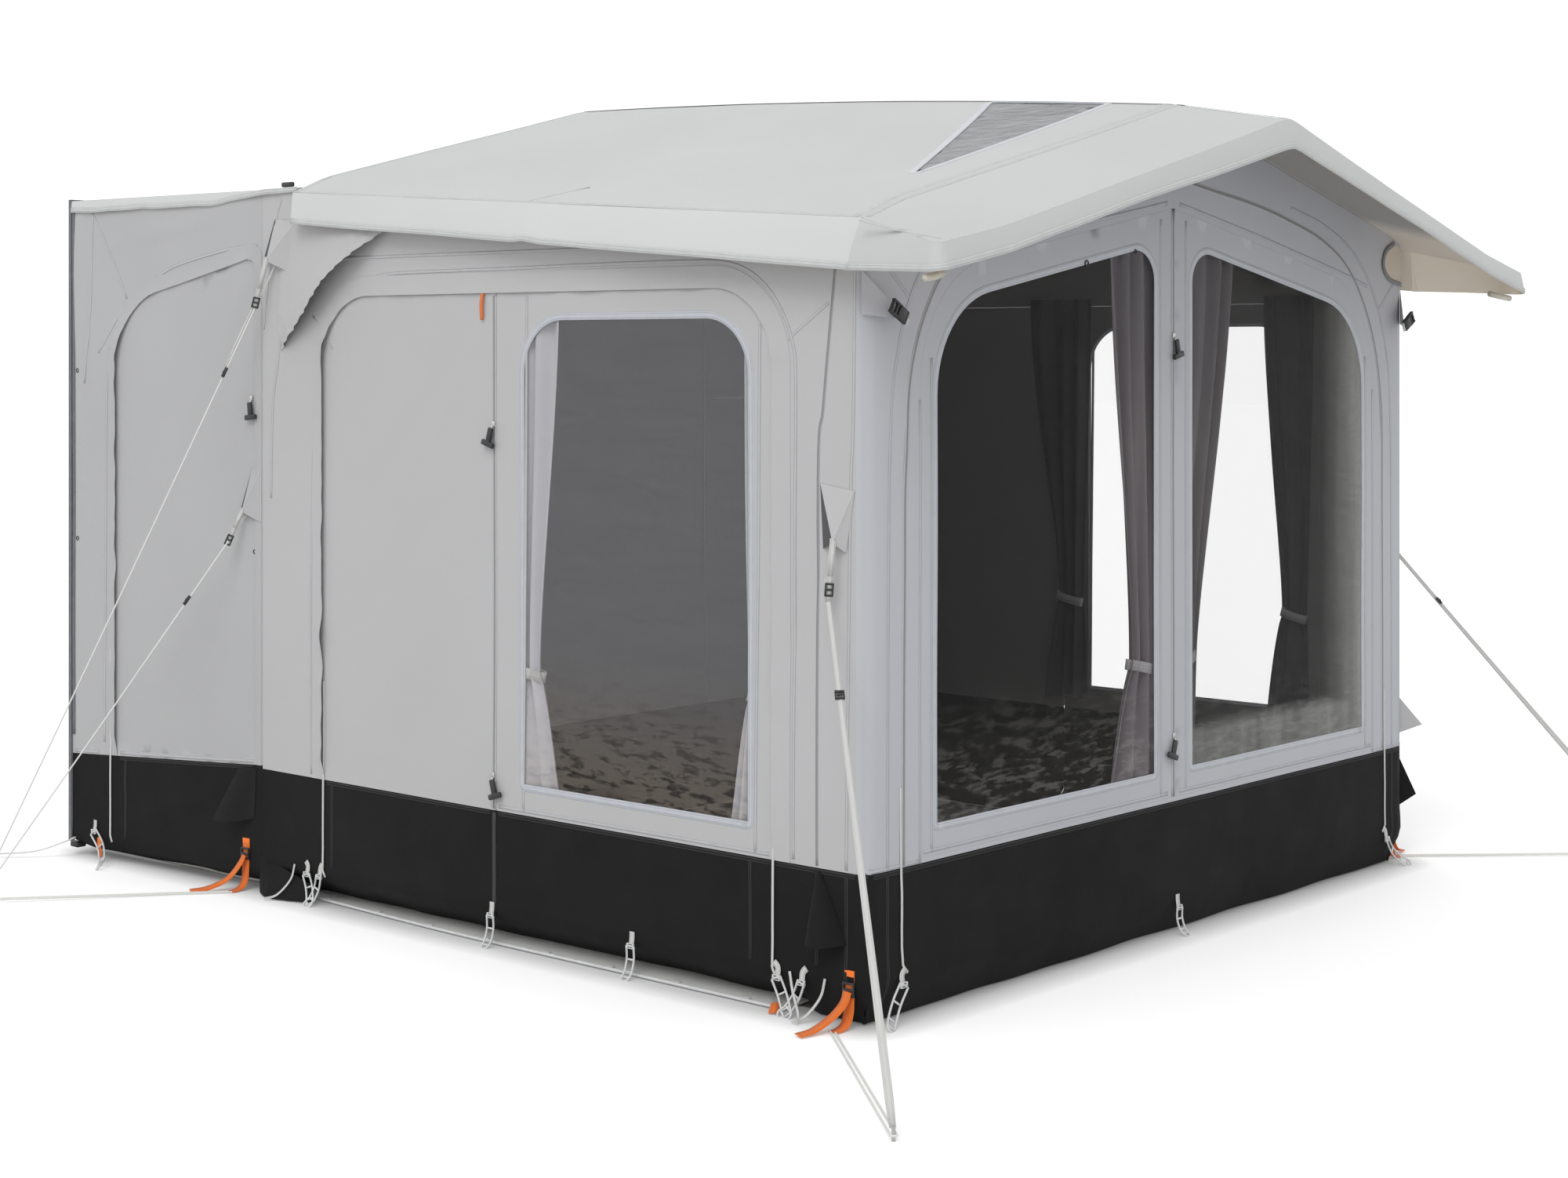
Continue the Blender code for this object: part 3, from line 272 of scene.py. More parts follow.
def zip_look(name, tape, coil):
    """Zip: woven tape with a ribbed coil along its middle."""
    found, tree, shader = start_material(name, Roughness=0.6)
    u, v = uv_axes(tree)
    far = maths(tree, "ABSOLUTE", v)
    middle = maths(tree, "LESS_THAN", far, 0.0032)
    teeth = ripples(tree, u, 0.0022)
    seam = near_to(tree, far, 0.0085, 0.0005)
    base = blended(tree, ranged(tree, noisy(tree, 45.0), 0.0, 0.5), tape, shade_of(tape, 0.85))
    base = blended(tree, maths(tree, "MULTIPLY", seam, 0.6), base, coil)
    base = blended(tree, middle, base, coil)
    tree.links.new(base, shader.inputs["Base Color"])
    tree.links.new(bumped(tree, maths(tree, "MULTIPLY", teeth, middle), 0.0008, 0.9),
                   shader.inputs["Normal"])
    return found


def film_look(name, colour, crinkle_light, alpha, wrinkle, most=0.6, level=0.7, sill=None, veil=None):
    """Clear window film: fine crinkles near its sill, where it was rolled up, coloured with painted light
    (highlights on a dark film, shade on a pale one), and there a painted reflection of another shade.

    A veil is a painted pale reflection: its colour, how much it covers, and the two x between which it comes
    in.
    """
    found, tree, shader = start_material(name, Roughness=0.05, Alpha=alpha)
    shader.inputs["IOR"].default_value = 1.45
    shader.inputs["Specular IOR Level"].default_value = level
    where = add(tree, "TexCoord").outputs["Object"]
    apart = add(tree, "SeparateXYZ", {0: where}).outputs
    lean = add(tree, "Mapping", {0: where, 2: (0.35, 0.0, 0.25), 3: (2.2, 2.2, 9.0)}).outputs[0]
    fine = ranged(tree, noisy(tree, 6.5, 6.0, 0.68, lean), 0.0, 1.0, 0.50, 0.58)
    low = ranged(tree, apart[2], most, 0.0, 0.47, 0.76)
    # painted reflection: low on the film the colour turns to the sill shade
    base = blended(tree, ranged(tree, apart[2], 1.0, 0.0, 0.48, 0.80), colour, sill or colour)
    # painted light on the fine crinkles: highlights on a dark film, shade on a pale one
    base = blended(tree, maths(tree, "MULTIPLY", fine, low), base, crinkle_light)
    if veil:
        tone, cover, first, last = veil
        upright = add(tree, "Mapping", {0: where, 3: (11.0, 11.0, 0.6)}).outputs[0]
        folds = ranged(tree, noisy(tree, 1.5, 3.0, 0.5, upright), 0.65, 1.0)
        beside = ranged(tree, apart[0], 0.0, 1.0, first, last)
        below = ranged(tree, apart[2], 0.75, 0.0, 0.53, 0.57)
        amount = maths(tree, "MULTIPLY", maths(tree, "MAXIMUM", beside, below), folds)
        base = blended(tree, amount, base, tone)
        tree.links.new(maths(tree, "MULTIPLY_ADD", amount, cover, alpha), shader.inputs["Alpha"])
    tree.links.new(base, shader.inputs["Base Color"])
    stretch = add(tree, "Mapping", {0: where, 3: (1.0, 1.0, 3.0)}).outputs[0]
    soft = bumped(tree, noisy(tree, 4.0, 3.0, 0.5, stretch), wrinkle, 0.6)
    tree.links.new(bumped(tree, noisy(tree, 5.5, 5.0, 0.6, lean), 0.35 * wrinkle, 0.8, soft),
                   shader.inputs["Normal"])
    found.surface_render_method = "BLENDED"
    return found


def plastic_look(name, colour, rough=0.42, grain=420.0, wear=0.25):
    """Moulded plastic: fine grain, and a paler worn tone on the high spots."""
    found, tree, shader = start_material(name, Roughness=rough)
    worn = ranged(tree, noisy(tree, 35.0, 5.0, 0.7), 0.0, wear, 0.45, 0.75)
    base = blended(tree, worn, colour, shade_of(colour, 1.5, 0.03))
    tree.links.new(base, shader.inputs["Base Color"])
    tree.links.new(ranged(tree, noisy(tree, 80.0), rough - 0.08, rough + 0.12), shader.inputs["Roughness"])
    tree.links.new(bumped(tree, noisy(tree, grain, 2.0), 0.0004, 0.35), shader.inputs["Normal"])
    return found


def webbing_look(name, colour, thread):
    """Woven strap: herringbone ribs along it and a dashed thread near each edge."""
    found, tree, shader = start_material(name, Roughness=0.7, Sheen_Weight=0.15)
    u, v = uv_axes(tree)
    far = maths(tree, "ABSOLUTE", v)
    ribs = ripples(tree, maths(tree, "ADD", far, u), 0.0022)
    pattern = maths(tree, "MULTIPLY", ribs, ripples(tree, v, 0.0016))
    base = blended(tree, ranged(tree, pattern, 0.0, 0.35, -1.0, 1.0), colour, shade_of(colour, 0.85))
    line = near_to(tree, far, 0.0042, 0.0006)
    base = blended(tree, maths(tree, "MULTIPLY", line, dashes(tree, u, 0.005, 0.55)), base, thread)
    tree.links.new(base, shader.inputs["Base Color"])
    tree.links.new(bumped(tree, pattern, 0.0004, 0.8), shader.inputs["Normal"])
    return found


def rope_look(name, colour):
    """Braided cord: two families of slanted strands."""
    found, tree, shader = start_material(name, Roughness=0.75, Sheen_Weight=0.1)
    where = add(tree, "TexCoord").outputs["Object"]
    strands = add(tree, "TexWave", {"Vector": where, "Scale": 160.0, "Distortion": 2.0},
                  bands_direction="DIAGONAL")
    height = strands.outputs["Fac"]
    base = blended(tree, ranged(tree, height, 0.0, 0.5, 0.0, 1.0), colour, shade_of(colour, 0.7))
    tree.links.new(base, shader.inputs["Base Color"])
    tree.links.new(bumped(tree, height, 0.0005, 0.7), shader.inputs["Normal"])
    return found


def metal_look(name, colour, rough):
    found, tree, shader = start_material(name, Roughness=rough, Metallic=1.0)
    stains = ranged(tree, noisy(tree, 40.0, 5.0, 0.7), 0.0, 0.4)
    base = blended(tree, stains, colour, shade_of(colour, 0.7))
    tree.links.new(base, shader.inputs["Base Color"])
    tree.links.new(ranged(tree, noisy(tree, 120.0), rough - 0.08, rough + 0.15), shader.inputs["Roughness"])
    return found


GREY = cloth_look("wall_weave", (0.495, 0.495, 0.500), (0.525, 0.525, 0.535))
FRONT_GREY = cloth_look("front_weave", (0.500, 0.508, 0.545), (0.528, 0.537, 0.572))
TUNNEL_GREY = cloth_look("tunnel_weave", (0.455, 0.457, 0.465), (0.490, 0.492, 0.500))
# painted shade: the inside faces of the walls are a darker copy of the wall cloth
INNER_SHADE = cloth_look("inner_shade_weave", (0.200, 0.195, 0.195), (0.240, 0.232, 0.230))
# painted shade: the inner rear wall is a darker copy of the wall cloth, as it lies in the dark inside
REAR_SHADE_GREY = cloth_look("rear_shade_weave", (0.300, 0.290, 0.280), (0.345, 0.335, 0.325), creases=0.005)
# painted shade: dark grey cloth for undersides and faces that lie in shade, and for a shadow on the wall
SHADED = cloth_look("shaded_weave", (0.055, 0.055, 0.058), (0.080, 0.080, 0.085))
EDGE_GREY = cloth_look("bound_edge", (0.20, 0.205, 0.215), (0.26, 0.265, 0.275), creases=0.0008)
# painted light: a slightly lighter copy of the mud cloth, so that the lit fin stands out from the wall
LIT_FIN_BLACK = cloth_look("lit_fin_weave", (0.019, 0.019, 0.020), (0.024, 0.024, 0.025), sheen=0.02, level=0.12)
BLACK = cloth_look("mud_weave", (0.0105, 0.0105, 0.0105), (0.0150, 0.0150, 0.0150), sheen=0.02, rough=0.80,
                   level=0.12)
ROOF = cloth_look("roof_weave", (0.575, 0.584, 0.584), (0.610, 0.618, 0.620), creases=0.0016)
SKIRT = cloth_look("skirt_weave", (0.635, 0.645, 0.645), (0.670, 0.680, 0.682), creases=0.0016)
CREAM = cloth_look("skirt_lining", (0.90, 0.82, 0.70), (0.92, 0.84, 0.71), creases=0.0012)
CHEEK = cloth_look("cheek_lining", (0.62, 0.56, 0.475), (0.65, 0.59, 0.50), creases=0.0012)
UNDERSIDE = cloth_look("roof_underside", (0.34, 0.33, 0.315), (0.375, 0.365, 0.35), creases=0.0012,
                       rim=((0.78, 0.70, 0.60), 1.00, 1.15))
CURTAIN = cloth_look("curtain_weave", (0.160, 0.145, 0.160), (0.225, 0.202, 0.212), pitch=0.0008, sheen=0.2,
                     creases=0.001)
# painted shade: a darker copy of the curtain cloth for the far curtains
SHADED_FAR_CURTAIN = cloth_look("shaded_far_curtain_weave", (0.075, 0.070, 0.076), (0.105, 0.098, 0.104), pitch=0.0008,
                         sheen=0.1, creases=0.001)
# painted shade: a darker copy of the curtain cloth for the right centre curtain
SHADED_CURTAIN = cloth_look("shaded_curtain_weave", (0.135, 0.124, 0.136), (0.175, 0.158, 0.166), pitch=0.0008,
                         sheen=0.15, creases=0.001)
# painted light: a paler copy of the curtain cloth for the lit left side curtains
LIT_CURTAIN = cloth_look("lit_curtain_weave", (0.620, 0.612, 0.650), (0.760, 0.752, 0.790), pitch=0.0008,
                          sheen=0.3, creases=0.001)
TUBE = cloth_look("air_sleeve", (0.075, 0.078, 0.085), (0.10, 0.10, 0.11), pitch=0.0014, rough=0.6)
FLOOR = cloth_look("floor_weave", (0.210, 0.190, 0.165), (0.310, 0.280, 0.240), pitch=0.003, rough=0.5,
                   creases=0.004)
SEAM = stitched_look("wall_seam", (0.50, 0.50, 0.51), (0.30, 0.31, 0.33))
FRONT_SEAM = stitched_look("front_seam", (0.500, 0.508, 0.545), (0.26, 0.27, 0.30))
ROOF_SEAM = stitched_look("roof_seam", (0.585, 0.594, 0.594), (0.42, 0.43, 0.44))
MUD_SEAM = stitched_look("mud_seam", (0.014, 0.014, 0.014), (0.085, 0.085, 0.090))
CURTAIN_SEAM = stitched_look("curtain_seam", (0.40, 0.39, 0.40), (0.20, 0.20, 0.21))
ZIPPER = zip_look("zip_grey", (0.475, 0.48, 0.49), (0.37, 0.375, 0.39))
MUD_ZIP = zip_look("zip_black", (0.020, 0.020, 0.021), (0.055, 0.055, 0.060))
FILM = film_look("window_film", (0.014, 0.014, 0.016), (0.70, 0.68, 0.66), 0.085, 0.016, most=0.8,
                 sill=(0.095, 0.090, 0.080))
RIGHT_FILM = film_look("right_window_film", (0.020, 0.020, 0.020), (0.70, 0.68, 0.66), 0.110, 0.016,
                       most=0.3, veil=((0.40, 0.40, 0.380), 0.55, 0.80, 1.04))
FAR_FILM = film_look("far_window_film", (0.62, 0.62, 0.55), (0.80, 0.80, 0.73), 0.052, 0.012, most=0.3)
SIDE_FILM = film_look("side_window_film", (0.335, 0.335, 0.360), (0.07, 0.060, 0.05), 0.155, 0.018, most=1.0,
                      sill=(0.40, 0.345, 0.290))
LIGHT_FILM = film_look("skylight_film", (0.075, 0.092, 0.105), (0.30, 0.32, 0.34), 0.66, 0.014, level=0.35)
BORDER = stitched_look("film_border", (0.52, 0.54, 0.58), (0.30, 0.32, 0.36), row=0.0050, rough=0.30)
POLE = plastic_look("pole_glass_fibre", (0.62, 0.58, 0.50), rough=0.45)
RUBBER = plastic_look("edge_rubber_grain", (0.150, 0.155, 0.168), rough=0.6, grain=300.0, wear=0.4)
PLASTIC = plastic_look("black_moulding", (0.020, 0.021, 0.023))
PALE = plastic_look("pale_rubber", (0.62, 0.63, 0.63), rough=0.38, wear=0.3)
ORANGE = webbing_look("orange_weave", (1.0, 0.215, 0.018), (0.70, 0.11, 0.01))
WEBBING = webbing_look("pale_weave", (0.78, 0.78, 0.76), (0.40, 0.40, 0.40))
CORD = rope_look("cord_braid", (0.85, 0.85, 0.82))
STEEL = metal_look("steel_rod", (0.60, 0.60, 0.58), 0.32)


# Mesh building

class Shape:
    """Vertices, faces and UVs of one piece, gathered part by part."""

    def __init__(self):
        self.points = []
        self.faces = []
        self.uvs = []
        self.looks = []
        self.sharp = []

    def add(self, points, faces, uvs=None, look=0, sharp=()):
        first = len(self.points)
        self.points += [Vector(p) for p in points]
        self.uvs += list(uvs) if uvs else [(p[0] + p[1], p[2]) for p in points]
        self.faces += [tuple(first + i for i in face) for face in faces]
        self.looks += [look] * len(faces)
        self.sharp += [(first + a, first + b) for a, b in sharp]

    def sweep(self, points, normals, profile, look=0, widths=None, closed=False):
        """Profile of (across, out) points carried along a line, out along its normals."""
        points = [Vector(p) for p in points]
        count = len(profile)
        total = len(points)
        rings = []
        uvs = []
        run = 0.0
        for i, here in enumerate(points):
            if closed:
                tangent = points[(i + 1) % total] - points[i - 1]
            else:
                tangent = points[min(i + 1, total - 1)] - points[max(i - 1, 0)]
            tangent.normalize()
            out = Vector(normals[i])
            out = (out - tangent * out.dot(tangent)).normalized()
            across = tangent.cross(out)
            if i:
                run += (here - points[i - 1]).length
            scale = widths[i] if widths else 1.0
            for b, h in profile:
                rings.append(here + across * (b * scale) + out * h)
                uvs.append((run, b * scale))
        faces = []
        for i in range(total if closed else total - 1):
            near = i * count
            far = ((i + 1) % total) * count
            for k in range(count):
                faces.append((near + k, near + (k + 1) % count, far + (k + 1) % count, far + k))
        if not closed:
            faces.append(tuple(reversed(range(count))))
            faces.append(tuple((total - 1) * count + k for k in range(count)))
        self.add(rings, faces, uvs, look)

    def tube(self, points, radius, sides, look=0, closed=False):
        points = [Vector(p) for p in points]
        profile = [
            (radius * math.cos(2.0 * math.pi * k / sides), radius * math.sin(2.0 * math.pi * k / sides))
            for k in range(sides)
        ]
        out = UP if abs((points[1] - points[0]).normalized().z) < 0.9 else Vector((1.0, 0.0, 0.0))
        normals = []
        for i in range(len(points)):
            tangent = points[min(i + 1, len(points) - 1)] - points[max(i - 1, 0)]
            tangent.normalize()
            out = (out - tangent * out.dot(tangent)).normalized()
            normals.append(out)
        self.sweep(points, normals, profile, look, closed=closed)

    def box(self, centre, size, axes=None, bevel=0.0015, look=0):
        """Bevelled block; axes holds its three directions."""
        shape = bmesh.new()
        bmesh.ops.create_cube(shape, size=1.0)
        bmesh.ops.scale(shape, vec=Vector(size), verts=shape.verts)
        bevel = min(bevel, 0.3 * min(size))
        bmesh.ops.bevel(shape, geom=shape.edges[:], offset=bevel, segments=2, profile=0.5, affect="EDGES")
        frame_axes = Matrix.Identity(3) if axes is None else Matrix(axes).transposed()
        points = [Vector(centre) + frame_axes @ v.co for v in shape.verts]
        uvs = [(v.co.x, v.co.y) for v in shape.verts]
        shape.verts.index_update()
        faces = [tuple(v.index for v in face.verts) for face in shape.faces]
        shape.free()
        self.add(points, faces, uvs, look)

    def grid(self, rows, uvs, thick, look=0, back_look=None):
        """Sheet through rows of points, closed with a second face when it has a thickness."""
        down, along = len(rows), len(rows[0])
        flat = [Vector(p) for row in rows for p in row]
        faces = []
        for i in range(down - 1):
            for k in range(along - 1):
                a = i * along + k
                faces.append((a, a + 1, a + along + 1, a + along))
        if uvs is None:
            uvs = [(k * 0.03, i * 0.03) for i in range(down) for k in range(along)]
        self.solid(flat, faces, uvs, thick, look, back_look)

    def solid(self, flat, faces, uvs, thick, look, back_look=None, normals=None):
        """Sheet with its own thickness: two faces and a rim whose edges stay crisp."""
        if normals is None:
            normals = [Vector() for _ in flat]
            for face in faces:
                way = (flat[face[1]] - flat[face[0]]).cross(flat[face[2]] - flat[face[0]])
                for i in face:
                    normals[i] += way
            normals = [n.normalized() for n in normals]
        half = thick / 2.0
        count = len(flat)
        points = [p + n * way for way in (half, -half) for p, n in zip(flat, normals)]
        uses = {}
        for face in faces:
            for a, b in zip(face, face[1:] + face[:1]):
                uses[(a, b)] = uses.get((a, b), 0) + 1
        rim = [(a, b) for a, b in uses if (b, a) not in uses]
        closing = [(b, a, a + count, b + count) for a, b in rim]
        under = [tuple(reversed([i + count for i in face])) for face in faces]
        first = len(self.faces)
        self.add(
            points, faces + under + closing, list(uvs) * 2, look,
            sharp=rim + [(a + count, b + count) for a, b in rim],
        )
        if back_look is not None:
            for i in range(first + len(faces), first + 2 * len(faces)):
                self.looks[i] = back_look

    def make(self, name, looks, body, slot, replaces=()):
        mesh = bpy.data.meshes.new(name)
        mesh.from_pydata(self.points, [], self.faces)
        layer = mesh.uv_layers.new(name="metres")
        loops = np.empty(len(mesh.loops), dtype=np.int64)
        mesh.loops.foreach_get("vertex_index", loops)
        layer.data.foreach_set("uv", np.array(self.uvs, dtype=np.float32)[loops].ravel())
        for look in looks:
            mesh.materials.append(look)
        mesh.polygons.foreach_set("material_index", np.array(self.looks, dtype=np.int32))
        mesh.shade_smooth()
        if self.sharp:
            wanted = {tuple(sorted(pair)) for pair in self.sharp}
            ends = np.empty(2 * len(mesh.edges), dtype=np.int64)
            mesh.edges.foreach_get("vertices", ends)
            flags = [tuple(sorted(pair)) in wanted for pair in ends.reshape(-1, 2).tolist()]
            mesh.attributes.new("sharp_edge", "BOOLEAN", "EDGE").data.foreach_set("value", flags)
        mesh.validate()
        item = bpy.data.objects.new(name, mesh)
        bpy.context.scene.collection.objects.link(item)
        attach(item, body)
        if replaces:
            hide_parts(*replaces)
        return item


def rounded(corners, chord=0.12):
    """Outline through (x, y, radius) corners, each corner an arc of short chords."""
    points = []
    count = len(corners)
    for i, (x, y, radius) in enumerate(corners):
        if radius <= 0.0:
            points.append((x, y))
            continue
        here = Vector((x, y))
        before = (Vector(corners[i - 1][:2]) - here).normalized()
        after = (Vector(corners[(i + 1) % count][:2]) - here).normalized()
        half = before.angle(after) / 2.0
        centre = here + (before + after).normalized() * (radius / math.sin(half))
        start = here + before * (radius / math.tan(half)) - centre
        turn = math.pi - 2.0 * half
        if before.x * after.y - before.y * after.x > 0.0:
            turn = -turn
        steps = max(3, round(abs(turn) / chord))
        for k in range(steps + 1):
            a = turn * k / steps
            c, s = math.cos(a), math.sin(a)
            points.append((centre.x + start.x * c - start.y * s, centre.y + start.x * s + start.y * c))
    return points


def spaced(points, step, closed=False):
    """The same polyline with no stretch longer than step."""
    points = [tuple(p) for p in points]
    ends = zip(points, points[1:] + points[:1]) if closed else zip(points, points[1:])
    result = []
    for a, b in ends:
        pieces = max(1, math.ceil(math.dist(a, b) / step))
        result += [tuple(mix(x, y, k / pieces) for x, y in zip(a, b)) for k in range(pieces)]
    if not closed:
        result.append(points[-1])
    return result


def oblong(first, low, last, high):
    return [(first, low), (last, low), (last, high), (first, high)]


def circle(centre, first, second, radius, count):
    """Points of a ring in the plane of two directions."""
    turns = [2.0 * math.pi * k / count for k in range(count)]
    return [centre + (first * math.cos(a) + second * math.sin(a)) * radius for a in turns]


def area_of(outline):
    return abs(sum(a[0] * b[1] - b[0] * a[1] for a, b in zip(outline, outline[1:] + outline[:1]))) / 2.0


def inside(points, ring):
    ring = np.array(ring)
    x, y = points[:, 0][:, None], points[:, 1][:, None]
    ax, ay = ring[:, 0], ring[:, 1]
    bx, by = np.roll(ax, -1), np.roll(ay, -1)
    crosses = (ay > y) != (by > y)
    with np.errstate(divide="ignore", invalid="ignore"):
        at = ax + (y - ay) * (bx - ax) / (by - ay)
    return (crosses & (x < at)).sum(axis=1) % 2 == 1


def away_from(points, ring, clear):
    ring = np.array(ring)
    after = np.roll(ring, -1, axis=0)
    run = after - ring
    long = np.maximum((run ** 2).sum(axis=1), 1e-12)
    kept = []
    for start in range(0, len(points), 2000):
        part = points[start:start + 2000, None, :]
        t = np.clip(((part - ring) * run).sum(axis=2) / long, 0.0, 1.0)
        near = ring + t[:, :, None] * run
        kept.append(np.sqrt(((part - near) ** 2).sum(axis=2)).min(axis=1) > clear)
    return np.concatenate(kept)


FLAT_SIZES = {}


def cloth(name, outline, place, body, look, slot, replaces=(), holes=(), step=0.035, thick=CLOTH,
          back_look=None):
    """Cloth piece cut to an outline with holes, each point put in place by its surface."""
    rings = [spaced(ring, step, True) for ring in (outline, *holes)]
    flat = np.array(rings[0])
    low, high = flat.min(axis=0), flat.max(axis=0)
    xs = np.arange(low[0] + step / 2.0, high[0], step)
    ys = np.arange(low[1] + step / 2.0, high[1], step)
    grid = np.array([(x, y) for x in xs for y in ys])
    keep = inside(grid, rings[0]) & away_from(grid, rings[0], 0.5 * step)
    for ring in rings[1:]:
        keep &= ~inside(grid, ring) & away_from(grid, ring, 0.5 * step)
    points = [Vector(p) for ring in rings for p in ring]
    edges = []
    first = 0
    for ring in rings:
        edges += [(first + k, first + (k + 1) % len(ring)) for k in range(len(ring))]
        first += len(ring)
    points += [Vector(p) for p in grid[keep]]
    found, _, faces, *_ = delaunay_2d_cdt(points, edges, [], 0, 1e-7)
    middles = np.array([[sum(found[i][k] for i in face) / 3.0 for k in (0, 1)] for face in faces])
    good = inside(middles, rings[0])
    for ring in rings[1:]:
        good &= ~inside(middles, ring)
    faces = [tuple(face) for face, ok in zip(faces, good) if ok]
    centre = [place(p.x, p.y, 0.0) for p in found]
    normals = [(place(p.x, p.y, 0.004) - q).normalized() for p, q in zip(found, centre)]
    a, b, c = (centre[i] for i in faces[0])
    if (b - a).cross(c - a).dot(normals[faces[0][0]]) < 0.0:
        faces = [tuple(reversed(face)) for face in faces]
    shape = Shape()
    shape.solid(centre, faces, [(p.x, p.y) for p in found], thick, 0, 1 if back_look else None, normals)
    shape.make(name, [look] + ([back_look] if back_look else []), body, slot, replaces)
    area = area_of(outline) - sum(area_of(hole) for hole in holes)
    FLAT_SIZES[name] = (float(high[0] - low[0]), float(high[1] - low[1]), float(area))


def on(place, path, lift):
    """Points and outward normals of a line drawn on a surface."""
    path = spaced(path, 0.03)
    points = [place(p, q, lift) for p, q in path]
    normals = [(place(p, q, lift + 0.005) - here).normalized() for (p, q), here in zip(path, points)]
    return points, normals


def flat_profile(width, thick):
    half = width / 2.0
    return [(-half, -thick / 2.0), (half, -thick / 2.0), (half, thick / 2.0), (-half, thick / 2.0)]


SEAM_WIDTH = 0.010
SEAM_RAISE = 0.0011


def ridge_profile(width, raised):
    half = width / 2.0
    return [(-half, 0.0), (half, 0.0), (0.80 * half, raised), (-0.80 * half, raised)]


def trims(name, body, look, slot, *parts):
    """Seams, zips and bands sewn on one body, gathered in one piece.

    The parts go in pairs: a surface, and its lines as (path, width, raise) or just a path.
    """
    shape = Shape()
    for place, lines in zip(parts[::2], parts[1::2]):
        for line in lines:
            path, width, raised = line if isinstance(line, tuple) else (line, SEAM_WIDTH, SEAM_RAISE)
            points, normals = on(place, path, CLOTH / 2.0 - 0.0002)
            shape.sweep(points, normals, ridge_profile(width, raised))
    shape.make(name, [look], body, slot)


def curve_through(points, steps):
    """Smooth line through the points."""
    points = [Vector(p) for p in points]
    padded = [2.0 * points[0] - points[1], *points, 2.0 * points[-1] - points[-2]]
    result = []
    for i in range(1, len(padded) - 2):
        a, b, c, d = padded[i - 1:i + 3]
        for k in range(steps):
            t = k / steps
            result.append(0.5 * (
                2.0 * b + (c - a) * t + (2.0 * a - 5.0 * b + 4.0 * c - d) * t * t
                + (3.0 * b - a - 3.0 * c + d) * t ** 3
            ))
    return result + [points[-1]]


def arc_path(points, steps=6):
    """The same, for (x, y) points."""
    return [(p.x, p.y) for p in curve_through([(*p, 0.0) for p in points], steps)]


# Surfaces: each gives the middle of the cloth, and lift is outwards

def crease(p, q, line, width, depth):
    """A soft fold along a line that fades out at both ends."""
    (ax, ay), (bx, by) = line
    rx, ry = bx - ax, by - ay
    t = ((p - ax) * rx + (q - ay) * ry) / (rx * rx + ry * ry)
    if not -0.1 < t < 1.1:
        return 0.0
    t = min(max(t, 0.0), 1.0)
    far = math.hypot(p - ax - t * rx, q - ay - t * ry)
    if far > 3.0 * width:
        return 0.0
    return depth * math.exp(-(far / width) ** 2) * math.sin(math.pi * min(max(t, 0.02), 0.98)) ** 0.7


def hem_tuck(s, z, seed):
    """Below its hem fold the mud wall turns in towards the ground, in slow waves."""
    bulge = 0.006 * math.exp(-((z - HEM_FOLD - 0.02) / 0.03) ** 2) * (0.6 + 0.8 * wave(3.0 * s, 0.0, seed))
    if z > HEM_FOLD:
        return bulge
    t = (HEM_FOLD - z) / HEM_FOLD
    return bulge - 0.034 * smooth(t) * (1.0 + 0.35 * wave(4.0 * s, 2.0, seed)) - 0.004 * t


SIDE_HEM = 0.080
SIDE_TUCK = 0.125


def side_tuck(d, z, seed, hem=SIDE_HEM, depth=SIDE_TUCK):
    """Along the sides the hem is off the ground, and the cloth below it runs in to the groundsheet."""
    bulge = 0.004 * math.exp(-((z - hem - 0.015) / 0.02) ** 2) * (0.6 + 0.8 * wave(3.0 * d, 0.0, seed))
    if z > hem:
        return bulge
    return bulge - depth * (hem - z) / hem * (1.0 + 0.2 * wave(3.5 * d, 2.0, seed))


FRONT_CREASES = (
    ((-1.25, 0.30), (-0.55, 0.16), 0.030, 0.004), ((-0.90, 0.15), (-0.10, 0.20), 0.025, 0.004),
    ((0.10, 0.16), (0.90, 0.22), 0.030, 0.004), ((0.55, 0.12), (1.20, 0.26), 0.025, 0.003),
    ((-1.22, 1.70), (-1.13, 1.20), 0.022, 0.003), ((1.22, 1.70), (1.13, 1.20), 0.022, 0.003),
    ((-1.22, 0.122), (-0.10, 0.062), 0.014, 0.009),
)


def front_relief(s, z):
    edge = smooth((FLAT + 0.01 - abs(s)) / 0.12)
    calm = smooth((2.3 - z) / 0.2)
    soft = 0.0032 * wave(1.9 * s, 1.3 * z, 4.0) + 0.0012 * wave(7.0 * s, 2.0 * z, 9.0)
    folds = sum(crease(s, z, (a, b), w, d) for a, b, w, d in FRONT_CREASES)
    d = abs(s) - FLAT - ARC + CORNER
    beside = smooth((d - 0.175) / 0.10)
    seed = 22.0 if s > 0.0 else 20.0
    tuck = hem_tuck(s, z, 11.0) if beside < 1.0 else 0.0
    return edge * calm * (soft + folds) + mix(tuck, side_tuck(d, z, seed) if beside > 0.0 else 0.0, beside)


def front(s, z, lift=0.0):
    side = -1.0 if s < 0.0 else 1.0
    lift = lift + front_relief(s, z)
    a = abs(s) - FLAT
    if a <= 0.0:
        return Vector((s, back(-lift), z))
    if a <= ARC:
        turn = a / CORNER
        r = CORNER + lift
        return Vector((side * (FLAT + r * math.sin(turn)), back(CORNER - r * math.cos(turn)), z))
    return Vector((side * (HALF_WIDTH + lift), back(CORNER + a - ARC), z))


def front_s(distance):
    """Where a place along the side falls on the front cloth that goes round the corner."""
    return FLAT + ARC + distance - CORNER


